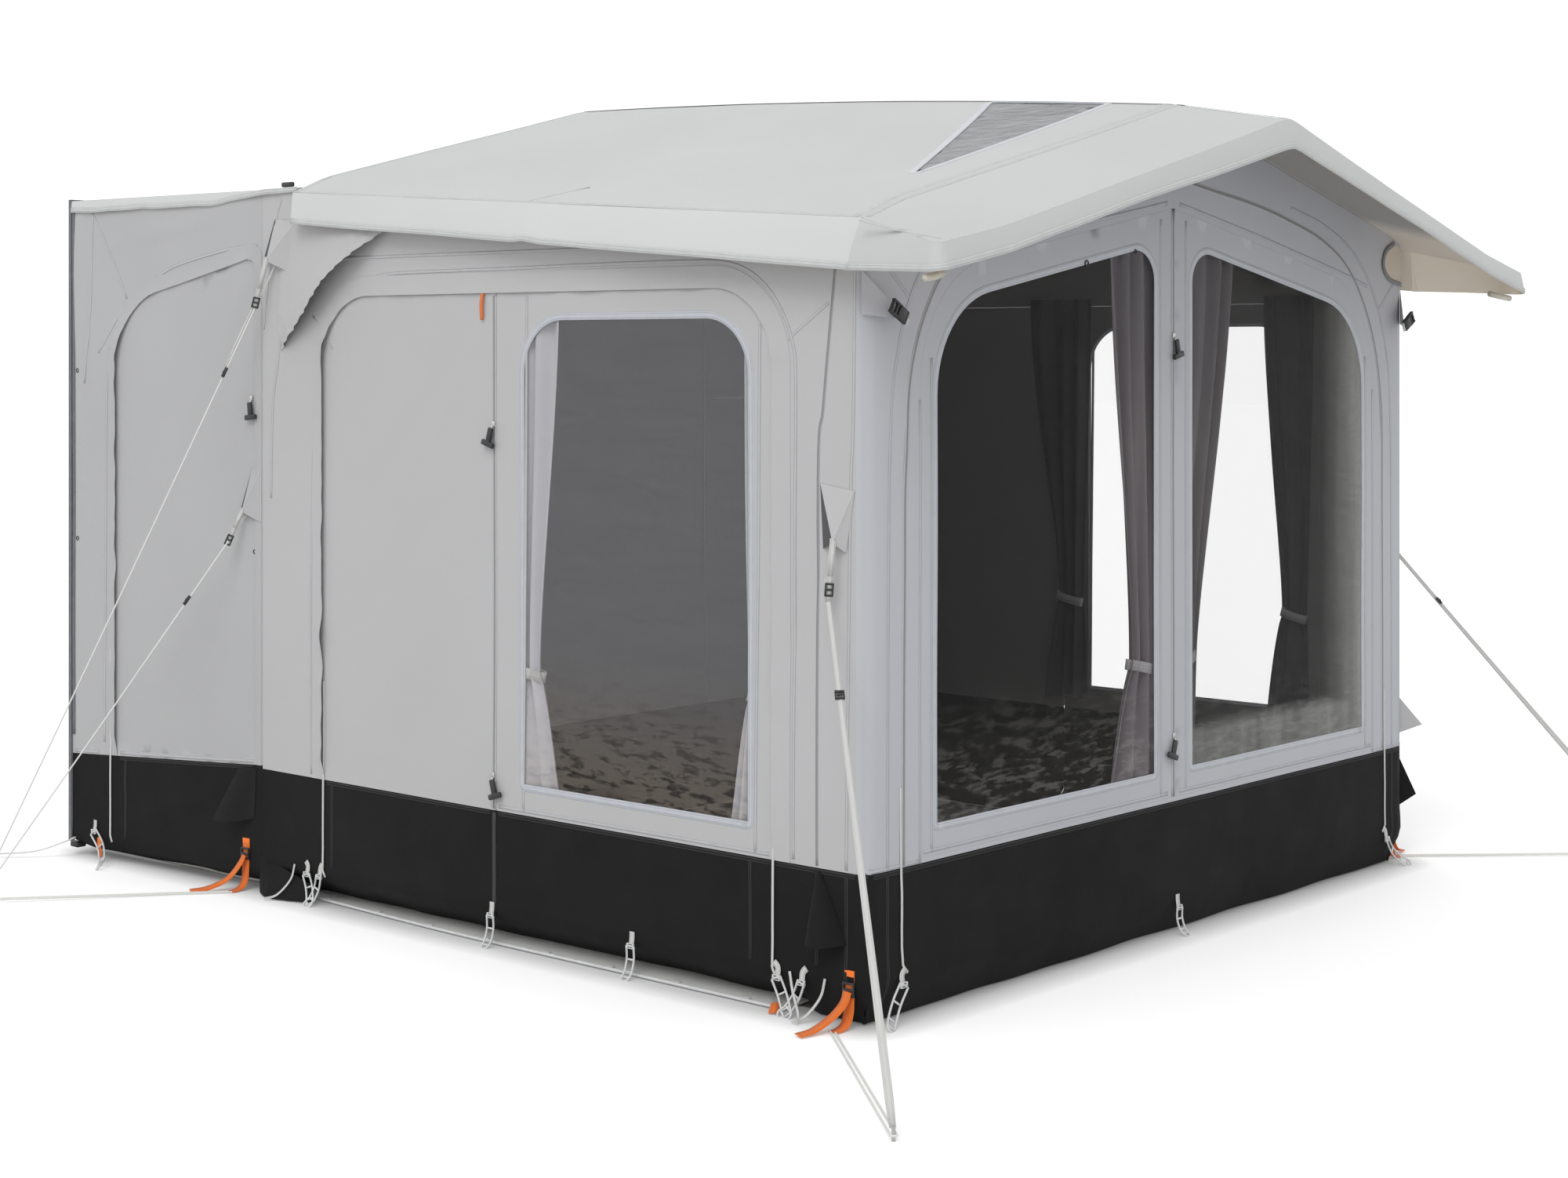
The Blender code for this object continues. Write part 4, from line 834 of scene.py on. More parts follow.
SIDE_CREASES = (
    ((1.35, 1.65), (1.90, 1.05), 0.035, -0.003), ((1.30, 1.30), (1.95, 0.75), 0.045, -0.003),
    ((0.35, 0.34), (1.20, 0.20), 0.030, 0.003), ((1.30, 0.30), (1.95, 0.15), 0.030, 0.004),
    ((0.60, 0.14), (1.25, 0.24), 0.025, 0.003), ((0.10, 1.18), (0.27, 0.75), 0.030, -0.003),
    ((2.05, 1.55), (2.20, 0.80), 0.030, 0.003),
)


def side_relief(d, z, seed):
    edge = smooth((d - CORNER) / 0.10) * smooth((DEPTH - d) / 0.10)
    soft = 0.0030 * wave(2.1 * d, 1.4 * z, seed) + 0.0010 * wave(8.0 * d, 2.2 * z, seed + 3.0)
    folds = sum(crease(d, z, (a, b), w, e) for a, b, w, e in SIDE_CREASES)
    return edge * (soft + folds) + side_tuck(d, z, seed)


def side_wall(side):
    seed = 21.0 + side

    def place(d, z, lift=0.0):
        return Vector((side * (HALF_WIDTH + lift + side_relief(d, z, seed)), back(d), z))

    return place


TUNNEL_HEM = 0.050
TUNNEL_TUCK = 0.110
TUNNEL_CREASES = (
    ((0.02, 1.95), (0.30, 1.20), 0.030, 0.006), ((0.03, 1.80), (0.45, 1.00), 0.035, -0.005),
    ((0.05, 1.12), (0.55, 0.50), 0.040, 0.006), ((0.05, 1.02), (0.40, 0.42), 0.030, -0.004),
    ((0.865, 1.98), (0.835, 1.45), 0.016, 0.013), ((0.84, 1.60), (0.74, 0.60), 0.022, -0.006),
    ((0.10, 0.30), (0.65, 0.12), 0.035, 0.005), ((0.20, 0.12), (0.70, 0.28), 0.030, 0.004),
    ((0.15, 1.98), (0.75, 1.90), 0.020, 0.004),
)


def tunnel_wall(side):
    run = Vector((side * TUNNEL_FLARE, TUNNEL_LENGTH, 0.0)).normalized()
    out = Vector((side * run.y, -side * run.x, 0.0))
    start = Vector((side * HALF_WIDTH, back(DEPTH), 0.0))

    def place(s, z, lift=0.0):
        edge = smooth(s / 0.08)
        soft = 0.004 * wave(2.4 * s, 1.2 * z, 31.0 + side) + 0.0012 * wave(9.0 * s, 2.0 * z, 35.0)
        folds = sum(crease(s, z, (a, b), w, e) for a, b, w, e in TUNNEL_CREASES)
        tuck = side_tuck(s, z, 33.0 + side, TUNNEL_HEM, TUNNEL_TUCK)
        return start + run * s + out * (lift + edge * (soft + folds) + tuck) + UP * z

    return place


RIDGE_FRONT = 2.242
RIDGE_REAR = 2.365
RIDGE_BOW = 0.080
FOLD_FRONT = 1.885
FOLD_REAR = 2.030
SHOULDER_RISE = 0.050


def fold_height(d):
    return mix(FOLD_FRONT, FOLD_REAR, d / EAVE_END)


def ridge_height(d):
    t = d / DEPTH
    return mix(RIDGE_FRONT, RIDGE_REAR, t) + RIDGE_BOW * t * (1.0 - t)


def softened(out):
    """The ridge is a narrow curve and not a crease."""
    return math.sqrt(out * out + 0.0009) - 0.03 * math.exp(-out / 0.15)


def roof_height(x, d):
    out = min(abs(x), FOLD_X)
    fold = fold_height(d)
    shoulder = fold + SHOULDER_RISE
    if out < SHOULDER_X:
        z = mix(ridge_height(d), shoulder, min(softened(out), SHOULDER_X) / SHOULDER_X)
    else:
        z = mix(shoulder, fold, (out - SHOULDER_X) / (FOLD_X - SHOULDER_X))
    span = math.sin(math.pi * min(max((d - 0.06) / 1.97, 0.0), 1.0))
    sag = 0.009 * span * math.sin(math.pi * min(out / 1.28, 1.0))
    return z - sag - 0.0014 * span * wave(3.0 * x, 2.0 * d, 5.0)


def lifted(height):
    """Surface over the ground plan from a height, lifted along its own normal."""
    def place(x, d, lift=0.0):
        e = 0.004
        slope_x = (height(x + e, d) - height(x - e, d)) / (2.0 * e)
        slope_d = (height(x, d + e) - height(x, d - e)) / (2.0 * e)
        way = Vector((-slope_x, -slope_d, 1.0)).normalized()
        return Vector((x, back(d), height(x, d))) + way * lift

    return place


roof = lifted(lambda x, d: roof_height(x, d) - CLOTH / 2.0)


VISOR_START = -0.0107
VISOR_REACH = 0.360
VISOR_SPREAD = 0.120
VISOR_RIDGE = 2.181
VISOR_FOLD = 1.811


def visor_front(x):
    """How far the visor reaches in front of the wall, a little less at its tips."""
    return -VISOR_REACH + 0.036 * min(abs(x) / FOLD_X, 1.0)


def visor_height(x, d):
    out = abs(x)
    reach = min(max((d - VISOR_START) / (visor_front(x) - VISOR_START), 0.0), 1.05)
    fold_x = FOLD_X + VISOR_SPREAD * reach
    ridge = mix(RIDGE_FRONT, VISOR_RIDGE, reach)
    fold = mix(fold_height(VISOR_START), VISOR_FOLD, reach)
    shoulder = fold + SHOULDER_RISE
    if out < SHOULDER_X:
        z = mix(ridge, shoulder, min(softened(out), SHOULDER_X) / SHOULDER_X)
    else:
        z = mix(shoulder, fold, min((out - SHOULDER_X) / (fold_x - SHOULDER_X), 1.05))
    pull = math.sin(math.pi * min(reach, 1.0))
    return z - 0.006 * pull * math.sin(math.pi * min(out / 1.3, 1.0)) - 0.001 * wave(6.0 * x, 6.0 * d, 7.0)


visor = lifted(lambda x, d: visor_height(x, d) - CLOTH / 2.0)


def roof_end(x):
    return mix(DEPTH, EAVE_END, min(abs(x) / FOLD_X, 1.0))


def tunnel_height(x, d):
    edge = HALF_WIDTH + TUNNEL_FLARE * max(d - DEPTH, 0.0) / TUNNEL_LENGTH + 0.004
    s = x / edge
    sag = 0.003 * math.sin(math.pi * min(max((d - EAVE_END) / 1.07, 0.0), 1.0))
    return TUNNEL_TOP + TUNNEL_DOME * (1.0 - s * s) - sag * (1.0 - s * s)


tunnel_top = lifted(lambda x, d: tunnel_height(x, d) - CLOTH / 2.0)


# Cords, which lie where the part's solids are

def length_of(points):
    return sum((Vector(b) - Vector(a)).length for a, b in zip(points, points[1:]))


def webbing_line(name, start, end, body, node, width):
    """Webbing guy line with a slack of 4 mm: narrow at its slider, two bands wide round the peg."""
    start, end = Vector(start), Vector(end)
    run = (end - start).normalized()
    out = Vector((-0.755, -0.63, 0.18) if start.x < 0.0 else (-0.90, -0.43, 0.12))
    out = (out - run * out.dot(run)).normalized()
    points = [start.lerp(end, k / 24.0) for k in range(25)]
    points = [p - UP * 0.004 * math.sin(math.pi * k / 24.0) for k, p in enumerate(points)]
    widths = [mix(0.62, 1.0, smooth((k / 24.0 - 0.10) / 0.9)) for k in range(25)]
    widths[-1] *= 0.75
    half = width / 2.0
    profile = [
        (-half, -0.0008), (half, -0.0008), (half, 0.0008), (0.10 * half, 0.0010), (0.0, 0.0001),
        (-0.10 * half, 0.0010), (-half, 0.0008),
    ]
    shape = Shape()
    shape.sweep(points, [out] * 25, profile, widths=widths)
    item = shape.make(name, [WEBBING], body, "pale_cord", [node])
    return item, [tuple(p) for p in points], length_of(points)


def cord_piece(name, points, radius, node):
    data = bpy.data.curves.new(name, "CURVE")
    data.dimensions = "3D"
    data.bevel_depth = radius
    data.bevel_resolution = 3
    data.use_fill_caps = True
    spline = data.splines.new("POLY")
    spline.points.add(len(points) - 1)
    for point, place in zip(spline.points, points):
        point.co = (*place, 1.0)
    data.materials.append(CORD)
    item = bpy.data.objects.new(name, data)
    bpy.context.scene.collection.objects.link(item)
    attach(item, "shell")
    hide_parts(node)
    return item, length_of(points)


def strap_seat(side, distance):
    """Foot of a pegging strap on a side wall, and the way out from that wall."""
    if distance < DEPTH:
        out = Vector((side, 0.0, 0.0))
        base = Vector((side * HALF_WIDTH, back(distance), 0.0))
    else:
        run = Vector((side * TUNNEL_FLARE, TUNNEL_LENGTH, 0.0)).normalized()
        out = Vector((side * run.y, -side * run.x, 0.0))
        base = Vector((side * HALF_WIDTH, back(DEPTH), 0.0)) + run * (distance - DEPTH)
    return base + out * (CLOTH / 2.0 + GAP), out


FRONT_PEG = (1.888, -0.556)
REAR_PEG = (1.930, 2.760)
FRONT_STRAP = 0.048
REAR_STRAP = 2.350


def foot_route(spot, out, far):
    """Doubled line from the pegging strap's end round the peg and back."""
    radius = 0.002
    near = spot + out * (0.060 + radius * 0.8 + GAP) + Vector((0.0, 0.0, radius + 0.001))
    run = (far - near).normalized()
    across = Vector((-run.y, run.x, 0.0)).normalized()
    spread = Vector((-out.y, out.x, 0.0)) * 0.008
    loop = 0.004 + radius * 1.1 + GAP
    there = [(near + spread).lerp(far + across * loop, k / 12.0) for k in range(13)]
    turn = []
    for k in range(1, 8):
        a = math.pi * k / 8.0
        turn.append(far + across * (loop * math.cos(a)) + run * (loop * 1.1 * math.sin(a)))
    home = [(far - across * loop).lerp(near - spread, k / 12.0) for k in range(13)]
    return there + turn + home


LINES = {}
for side, tag in SIDES:
    start = (side * 1.30712, -1.290, 1.050)
    end = (side * 1.882069, -1.959098, 0.024)
    item, path, length = webbing_line("front_guy_" + tag, start, end, "shell", "guy_front_" + tag, 0.0185)
    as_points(path)
    LINES["front_" + tag] = (Vector(start), Vector(end), 0.245)
    route = foot_route(*strap_seat(side, FRONT_STRAP),
                       Vector((side * FRONT_PEG[0], back(FRONT_PEG[1]), 0.012)))
    item, length = cord_piece("front_foot_line_" + tag, route, 0.0026, "foot_line_front_" + tag)
    tuple(route[0])
for tag, start, end, share in (
    ("upper", (-1.30298, 0.805, 1.830), (-1.930, 1.350, 0.030), 0.175),
    ("lower", (-1.307362, 0.935, 1.100), (-1.930, 1.350, 0.018), 0.230),
):
    a, b = Vector(start), Vector(end)
    route = [a.lerp(b, k / 24.0) - UP * 0.005 * math.sin(math.pi * k / 24.0) for k in range(25)]
    item, length = cord_piece("rear_guy_" + tag, route, 0.0023, "guy_rear_left_" + tag)
    LINES["rear_" + tag] = (a, b, share)
route = foot_route(*strap_seat(-1.0, REAR_STRAP), Vector((-REAR_PEG[0], back(REAR_PEG[1]), 0.012)))
item, length = cord_piece("rear_foot_line", route, 0.0026, "foot_line_rear_left")
tuple(route[0])
start = Vector((-1.36445, 1.740, 0.060))
steps = ((-0.03, 0.010, -0.012), (-0.10, 0.07, -0.040), (-0.18, 0.16, -0.048), (-0.260, 0.230, -0.050))
route = curve_through([start] + [start + Vector(step) for step in steps], 6)
shape = Shape()
shape.sweep(route, [UP] * len(route), flat_profile(0.014, 0.0014))
item = shape.make("tunnel_tail", [WEBBING], "shell", "pale_cord", ["tunnel_strap_left"])
length = length_of(route)
[tuple(p) for p in route]


# Roof and visor

SKYLIGHT = ((-0.970, 0.145), (-0.020, 0.600), (-0.020, 0.190))
skylight_hole = rounded([(x, d, 0.012) for x, d in SKYLIGHT])
outline = [(-FOLD_X, -0.010), (FOLD_X, -0.010), (FOLD_X, EAVE_END), (0.0, DEPTH), (-FOLD_X, EAVE_END)]
cloth("roof_sheet", outline, roof, "shell", ROOF, "roof_cloth", ["roof_canopy"], [skylight_hole], 0.04,
      back_look=UNDERSIDE)
inner = rounded([(-0.966, 0.1465, 0.011), (-0.0215, 0.597, 0.011), (-0.0215, 0.1915, 0.011)])
cloth("skylight_sheet", inner, roof, "shell", LIGHT_FILM, "clear_film", ["skylight_foil"], step=0.03,
      thick=FILM_THICK)


def skirt(name, tops, outs, drops, flares, look, seed, rows=5, ripple=0.003):
    """Band that hangs from a line, leaning out by its flare, with a slow wave in its hem."""
    sheet_rows = []
    uvs = []
    run = 0.0
    runs = [0.0]
    for a, b in zip(tops, tops[1:]):
        run += (b - a).length
        runs.append(run)
    for i in range(rows + 1):
        t = i / rows
        row = []
        for k, top in enumerate(tops):
            out = outs[k] * (flares[k] * t ** 0.8 + ripple * t * wave(4.0 * runs[k], seed, t))
            row.append(top + out - UP * (drops[k] * t + 0.002 * t * wave(3.0 * runs[k], seed + 5.0, 0.0)))
            uvs.append((runs[k], drops[k] * t))
        sheet_rows.append(row)
    shape = Shape()
    shape.grid(sheet_rows, uvs, CLOTH, 0, 1)
    corner = sheet_rows[0][0]
    faces_out = (sheet_rows[0][1] - corner).cross(sheet_rows[1][0] - corner).dot(outs[0]) > 0.0
    shape.make(name, [look, CREAM] if faces_out else [CREAM, look], "shell", "roof_cloth")
    FLAT_SIZES[name] = (run, max(drops), sum(drops) / len(drops) * run)
    hem = [p + UP * 0.008 for p in sheet_rows[-1]]
    shape = Shape()
    for way, depth in ((1.0, 0.0012), (-1.0, 0.0010)):
        profile = [(-0.008, 0.0008), (0.008, 0.0008), (0.007, 0.0008 + depth), (-0.007, 0.0008 + depth)]
        shape.sweep(hem, [o * way for o in outs], profile, 0 if way > 0.0 else 1)
    shape.make(name + "_hem", [ROOF_SEAM, CREAM], "shell", "roof_cloth")


for side, tag in SIDES:
    tops, outs, drops, flares = [], [], [], []
    for k in range(71):
        d = mix(-0.010, EAVE_END, k / 70.0)
        t = max(d, 0.0) / EAVE_END
        tops.append(Vector((side * FOLD_X, back(d), roof_height(FOLD_X, d) - 0.001)))
        outs.append(Vector((side, 0.0, 0.0)))
        drops.append(mix(0.122, 0.090, t) - 0.006 * math.exp(-((d - 1.10) / 0.03) ** 2))
        flares.append(mix(0.045, 0.008, t) + 0.006 * math.exp(-((d - 1.10) / 0.05) ** 2))
    if side > 0.0:
        tops, outs, drops, flares = tops[::-1], outs[::-1], drops[::-1], flares[::-1]
    skirt("eave_skirt_" + tag, tops, outs, drops, flares, SKIRT, side)


def visor_edge():
    """Outer edge of the visor in plan, from the left eave round both rounded tips to the right eave."""
    tip = FOLD_X + VISOR_SPREAD
    half = FOLD_X * 0.5
    corners = [
        (-FOLD_X, VISOR_START, 0.0), (-tip, visor_front(FOLD_X), 0.018), (-half, visor_front(half), 0.3),
        (0.0, visor_front(0.0), 0.25), (half, visor_front(half), 0.3), (tip, visor_front(FOLD_X), 0.018),
        (FOLD_X, VISOR_START, 0.0),
    ]
    return spaced(rounded(corners, 0.35), 0.03)


edge = visor_edge()
cloth("visor_sheet", edge, visor, "shell", ROOF, "roof_cloth", ["visor_canopy"], step=0.03,
      back_look=UNDERSIDE)
tops = [visor(x, d, 0.0) for x, d in edge]
outs, drops, flares = [], [], []
for k, (x, d) in enumerate(edge):
    before, after = Vector(edge[max(k - 1, 0)]), Vector(edge[min(k + 1, len(edge) - 1)])
    run = (after - before).normalized()
    way = Vector((run.y, -run.x, 0.0))
    reach = min(max((d - VISOR_START) / (visor_front(x) - VISOR_START), 0.0), 1.0)
    if way.dot(Vector((x, d + 0.2, 0.0))) < 0.0:
        way = -way
    outs.append(way)
    out = min(abs(x) / 1.45, 1.0)
    drops.append(mix(0.122, mix(0.078, 0.062, out) - 0.008 * math.sin(math.pi * out), reach))
    flares.append(mix(0.045, 0.012, smooth(reach)))
skirt("visor_skirt", tops, outs, drops, flares, ROOF, 3.0, ripple=0.002)

trims("roof_seams", "shell", ROOF_SEAM, "roof_cloth", roof, [
    ([(0.0, 0.0), (0.0, 2.27)], 0.030, 0.0014),
    ([(-1.325, 0.0), (-1.325, 2.095)], 0.012, 0.0014),
    ([(1.325, 0.0), (1.325, 2.095)], 0.012, 0.0014),
    ([(-1.32, 0.012), (0.0, 0.012), (1.32, 0.012)], 0.026, 0.0014),
    ([(-1.32, 2.085), (0.0, 2.262), (1.32, 2.085)], 0.014, 0.0012),
    ([(-1.325, 1.13), (-1.20, 1.02)], 0.010, 0.0012),
], visor, [
    ([(0.0, -0.02), (0.0, -0.345)], 0.030, 0.0014),
    ([(-1.325, -0.024), (0.0, -0.024), (1.325, -0.024)], 0.014, 0.0014),
    ([(-1.385, -0.05), (-1.405, -0.30)], 0.008, 0.0010),
    ([(1.385, -0.05), (1.405, -0.30)], 0.008, 0.0010),
])
trims("skylight_border", "shell", BORDER, "clear_film",
      roof, [(skylight_hole + skylight_hole[:1], 0.022, 0.0012)])


# Front wall

def mud_panel(name, outline, wall, body):
    """Black lower part of a side, door or tunnel panel."""
    cloth(name, outline, wall, body, BLACK, "mud_cloth", step=MUD_STEP)


def front_top(s):
    out = min(abs(s), FLAT) + CORNER * math.sin(min(max(abs(s) - FLAT, 0.0), ARC) / CORNER)
    d = 0.0 if abs(s) < FLAT else CORNER * (1.0 - math.cos(min(abs(s) - FLAT, ARC) / CORNER))
    return roof_height(out, d) - 0.003


def panel_top(x):
    return PANEL_SHOULDER + PANEL_RISE * (PANEL_HALF - x)


reach = FLAT + ARC
tops = [(s, front_top(s)) for s in np.linspace(-reach, reach, 61).tolist()]
half, sill, shoulder = PANEL_HALF + GAP, PANEL_SILL - GAP, PANEL_SHOULDER + GAP
opening = rounded([
    (-half, sill, 0.0), (-half, shoulder, PANEL_ROUND), (0.0, panel_top(0.0) + GAP, 0.0),
    (half, shoulder, PANEL_ROUND), (half, sill, 0.0),
])
cloth("front_cloth", [(reach, MUD), (-reach, MUD)] + tops, front, "shell", FRONT_GREY, "wall_cloth",
      ["wall_front"], [opening])

mud_reach = front_s(ARCH_FRONT - GAP)
cloth("front_mud", oblong(-mud_reach, MUD_FOOT, mud_reach, MUD), front, "shell", BLACK, "mud_cloth",
      ["mud_wall_front"], step=0.03)


def front_window(side, shrink):
    rise = PANEL_RISE * (WINDOW_OUTER - WINDOW_INNER)
    outer, inner = side * (WINDOW_OUTER - shrink), side * (WINDOW_INNER + shrink)
    sill = WINDOW_SILL + shrink
    return rounded([
        (outer, sill, 0.012), (outer, WINDOW_SHOULDER - shrink, 0.265),
        (inner, WINDOW_SHOULDER + rise - shrink, 0.090), (inner, sill, 0.012),
    ])


ARCH_ZIP = arc_path([
    (0.040, 2.040), (0.213, 2.016), (0.421, 1.988), (0.638, 1.945), (0.819, 1.894), (0.959, 1.817),
    (1.069, 1.689), (1.138, 1.523), (1.160, 1.300), (1.163, 1.000), (1.166, 0.365),
])
ARCH_SEAM = arc_path([
    (0.620, 1.990), (0.830, 1.940), (1.000, 1.860), (1.120, 1.735), (1.190, 1.570), (1.215, 1.380),
    (1.222, 1.000), (1.225, 0.365),
])
for side, tag in SIDES:
    leaf = "front_leaf_" + tag
    panel = rounded([
        (side * PANEL_HALF, PANEL_SILL, 0.0), (side * PANEL_HALF, PANEL_SHOULDER, PANEL_ROUND),
        (side * 0.0015, panel_top(0.0015), 0.010), (side * 0.0015, PANEL_SILL, 0.0),
    ])
    window = front_window(side, 0.0)
    cloth("front_leaf_cloth_" + tag, panel, front, leaf, FRONT_GREY, "wall_cloth",
          ["front_panel_" + tag], [window])
    film = FILM if side < 0.0 else RIGHT_FILM
    cloth("front_film_" + tag, front_window(side, GAP), front, leaf, film, "clear_film",
          ["window_foil_front_" + tag], thick=FILM_THICK)
    trims("front_film_border_" + tag, leaf, BORDER, "clear_film", front,
          [(window + window[:1], 0.020, 0.0012)])
    trims("front_leaf_seams_" + tag, leaf, FRONT_SEAM, "wall_cloth", front, [
        [(side * 0.062, 0.380), (side * 0.062, 1.930)],
        [(side * 1.058, 0.380), (side * 1.058, 1.560)],
        ([(side * 0.030, 0.385), (side * 1.09, 0.385)], 0.012, 0.0011),
    ])
    header = ((0.03, 1.974), (0.42, 1.905), (0.90, 1.811), (1.07, 1.772))
    trims("front_seams_" + tag, "shell", FRONT_SEAM, "wall_cloth", front, [
        ([(side * s, z) for s, z in ARCH_SEAM], 0.010, 0.0012),
        ([(side * 1.103, 0.365), (side * 1.103, 1.46)], 0.010, 0.0012),
        ([(side * s, z) for s, z in header], 0.012, 0.0012),
        ([(side * 1.14, 1.70), (side * 1.27, 1.81)], 0.010, 0.0010),
        ([(side * 1.10, 0.366), (side * 1.31, 0.366)], 0.010, 0.0010),
    ])
    trims("front_arch_zip_" + tag, "shell", ZIPPER, "wall_cloth", front,
          [([(side * s, z) for s, z in ARCH_ZIP], 0.014, 0.0018)])
trims("front_zip", "front_leaf_left", ZIPPER, "wall_cloth", front,
      [([(-0.002, 0.375), (-0.002, 1.955)], 0.020, 0.0016)])
trims("front_mud_seams", "shell", MUD_SEAM, "mud_cloth", front, [
    ([(-mud_reach + 0.01, 0.352), (mud_reach - 0.01, 0.352)], 0.012, 0.0011),
    [(-1.225, 0.350), (-1.225, 0.020)], [(1.225, 0.350), (1.225, 0.020)],
    [(-front_s(0.060), 0.350), (-front_s(0.060), 0.020)],
    [(front_s(0.060), 0.350), (front_s(0.060), 0.020)],
    [(-front_s(0.150), 0.350), (-front_s(0.150), 0.130)],
    [(front_s(0.150), 0.350), (front_s(0.150), 0.130)],
])


# Side walls

def side_top(d):
    return roof_height(HALF_WIDTH, d) - 0.003


def side_window(shrink):
    first, last = 0.360 + shrink, 1.170 - shrink
    sill, top = 0.432 + shrink, 1.665 - shrink
    return rounded([(first, sill, 0.012), (first, top, 0.150), (last, top, 0.150), (last, sill, 0.012)])


FREE_EDGE = ((2.190, 1.578), (2.047, 1.676), (1.936, 1.773), (1.818, 1.851), (1.660, 1.930))
OUTER_STITCH = arc_path([
    (2.052, 0.370), (2.052, 1.012), (2.038, 1.421), (2.024, 1.520), (1.995, 1.607),
    (1.950, 1.672), (1.869, 1.735), (1.780, 1.775), (1.680, 1.790), (1.250, 1.793),
    (0.932, 1.796), (0.600, 1.797), (0.461, 1.793), (0.379, 1.774), (0.315, 1.735),
    (0.262, 1.674), (0.228, 1.601), (0.216, 1.500), (0.220, 1.100), (0.223, 0.370),
])


CORNER_SEAM = arc_path([(0.034, 1.780), (0.036, 1.573), (0.040, 1.378), (0.048, 1.183), (0.060, 0.365)])
SLEEVE_ZIP = arc_path([(0.090, 1.800), (0.108, 1.640), (0.130, 1.443), (0.147, 1.271), (0.149, 0.365)])
FLAP_SEAM = arc_path([
    (2.108, 1.980), (2.121, 1.954), (2.162, 1.810), (2.203, 1.571), (2.232, 1.414), (2.240, 1.150),
])
REAR_SEAM = arc_path([(2.190, 2.015), (2.214, 1.957), (2.232, 1.885), (2.262, 1.730), (2.274, 1.640)])


def arch_line(offset):
    """Line this far outside the side arch, from its rear foot over the top to its front foot."""
    top, radius = ARCH_TOP + offset, ARCH_ROUND + offset
    rear, fore = ARCH_REAR + offset, ARCH_FRONT - offset
    return rounded([(rear, MUD, 0.0), (rear, top, radius), (fore, top, radius), (fore, MUD, 0.0)])


def lip(name, line, outer, surface, peak, seed, look):
    """Zip cover along an arch: sewn at its outer line, its free edge lifted off the cloth in small waves."""
    inner_line = spaced(line, 0.02)
    shape = Shape()
    count = len(inner_line)
    outer_line = []
    for k, (p, q) in enumerate(inner_line):
        # the outer line runs beside the inner one, square to it
        before = Vector(inner_line[max(k - 1, 0)])
        after = Vector(inner_line[min(k + 1, count - 1)])
        run = (after - before).normalized()
        outer_line.append((max(p + outer * run.y, 0.004), q - outer * run.x))
    rows = []
    uvs = []
    for i in range(5):
        t = i / 4.0
        row = []
        for k in range(count):
            (a, b), (c, d) = outer_line[k], inner_line[k]
            # it lies closer from the 76th point on, and stands off most round the 64th
            lift = mix(0.40, 1.0, smooth((76 - k) / 20.0)) + 0.7 * math.exp(-((k - 64.0) / 5.0) ** 2)
            uneven = 0.85 + 0.75 * wave(0.22 * k, seed, 0.0)
            rise = 0.0016 + lift * peak * t ** 2.0 * uneven * smooth(min(k, count - 1 - k) / 4.0)
            row.append(surface(mix(a, c, t), mix(b, d, t), rise))
            uvs.append((k * 0.02, outer * (1.0 - t)))
        rows.append(row)
    shape.grid(rows, uvs, THIN)
    shape.make(name, [look], "shell", "wall_cloth")


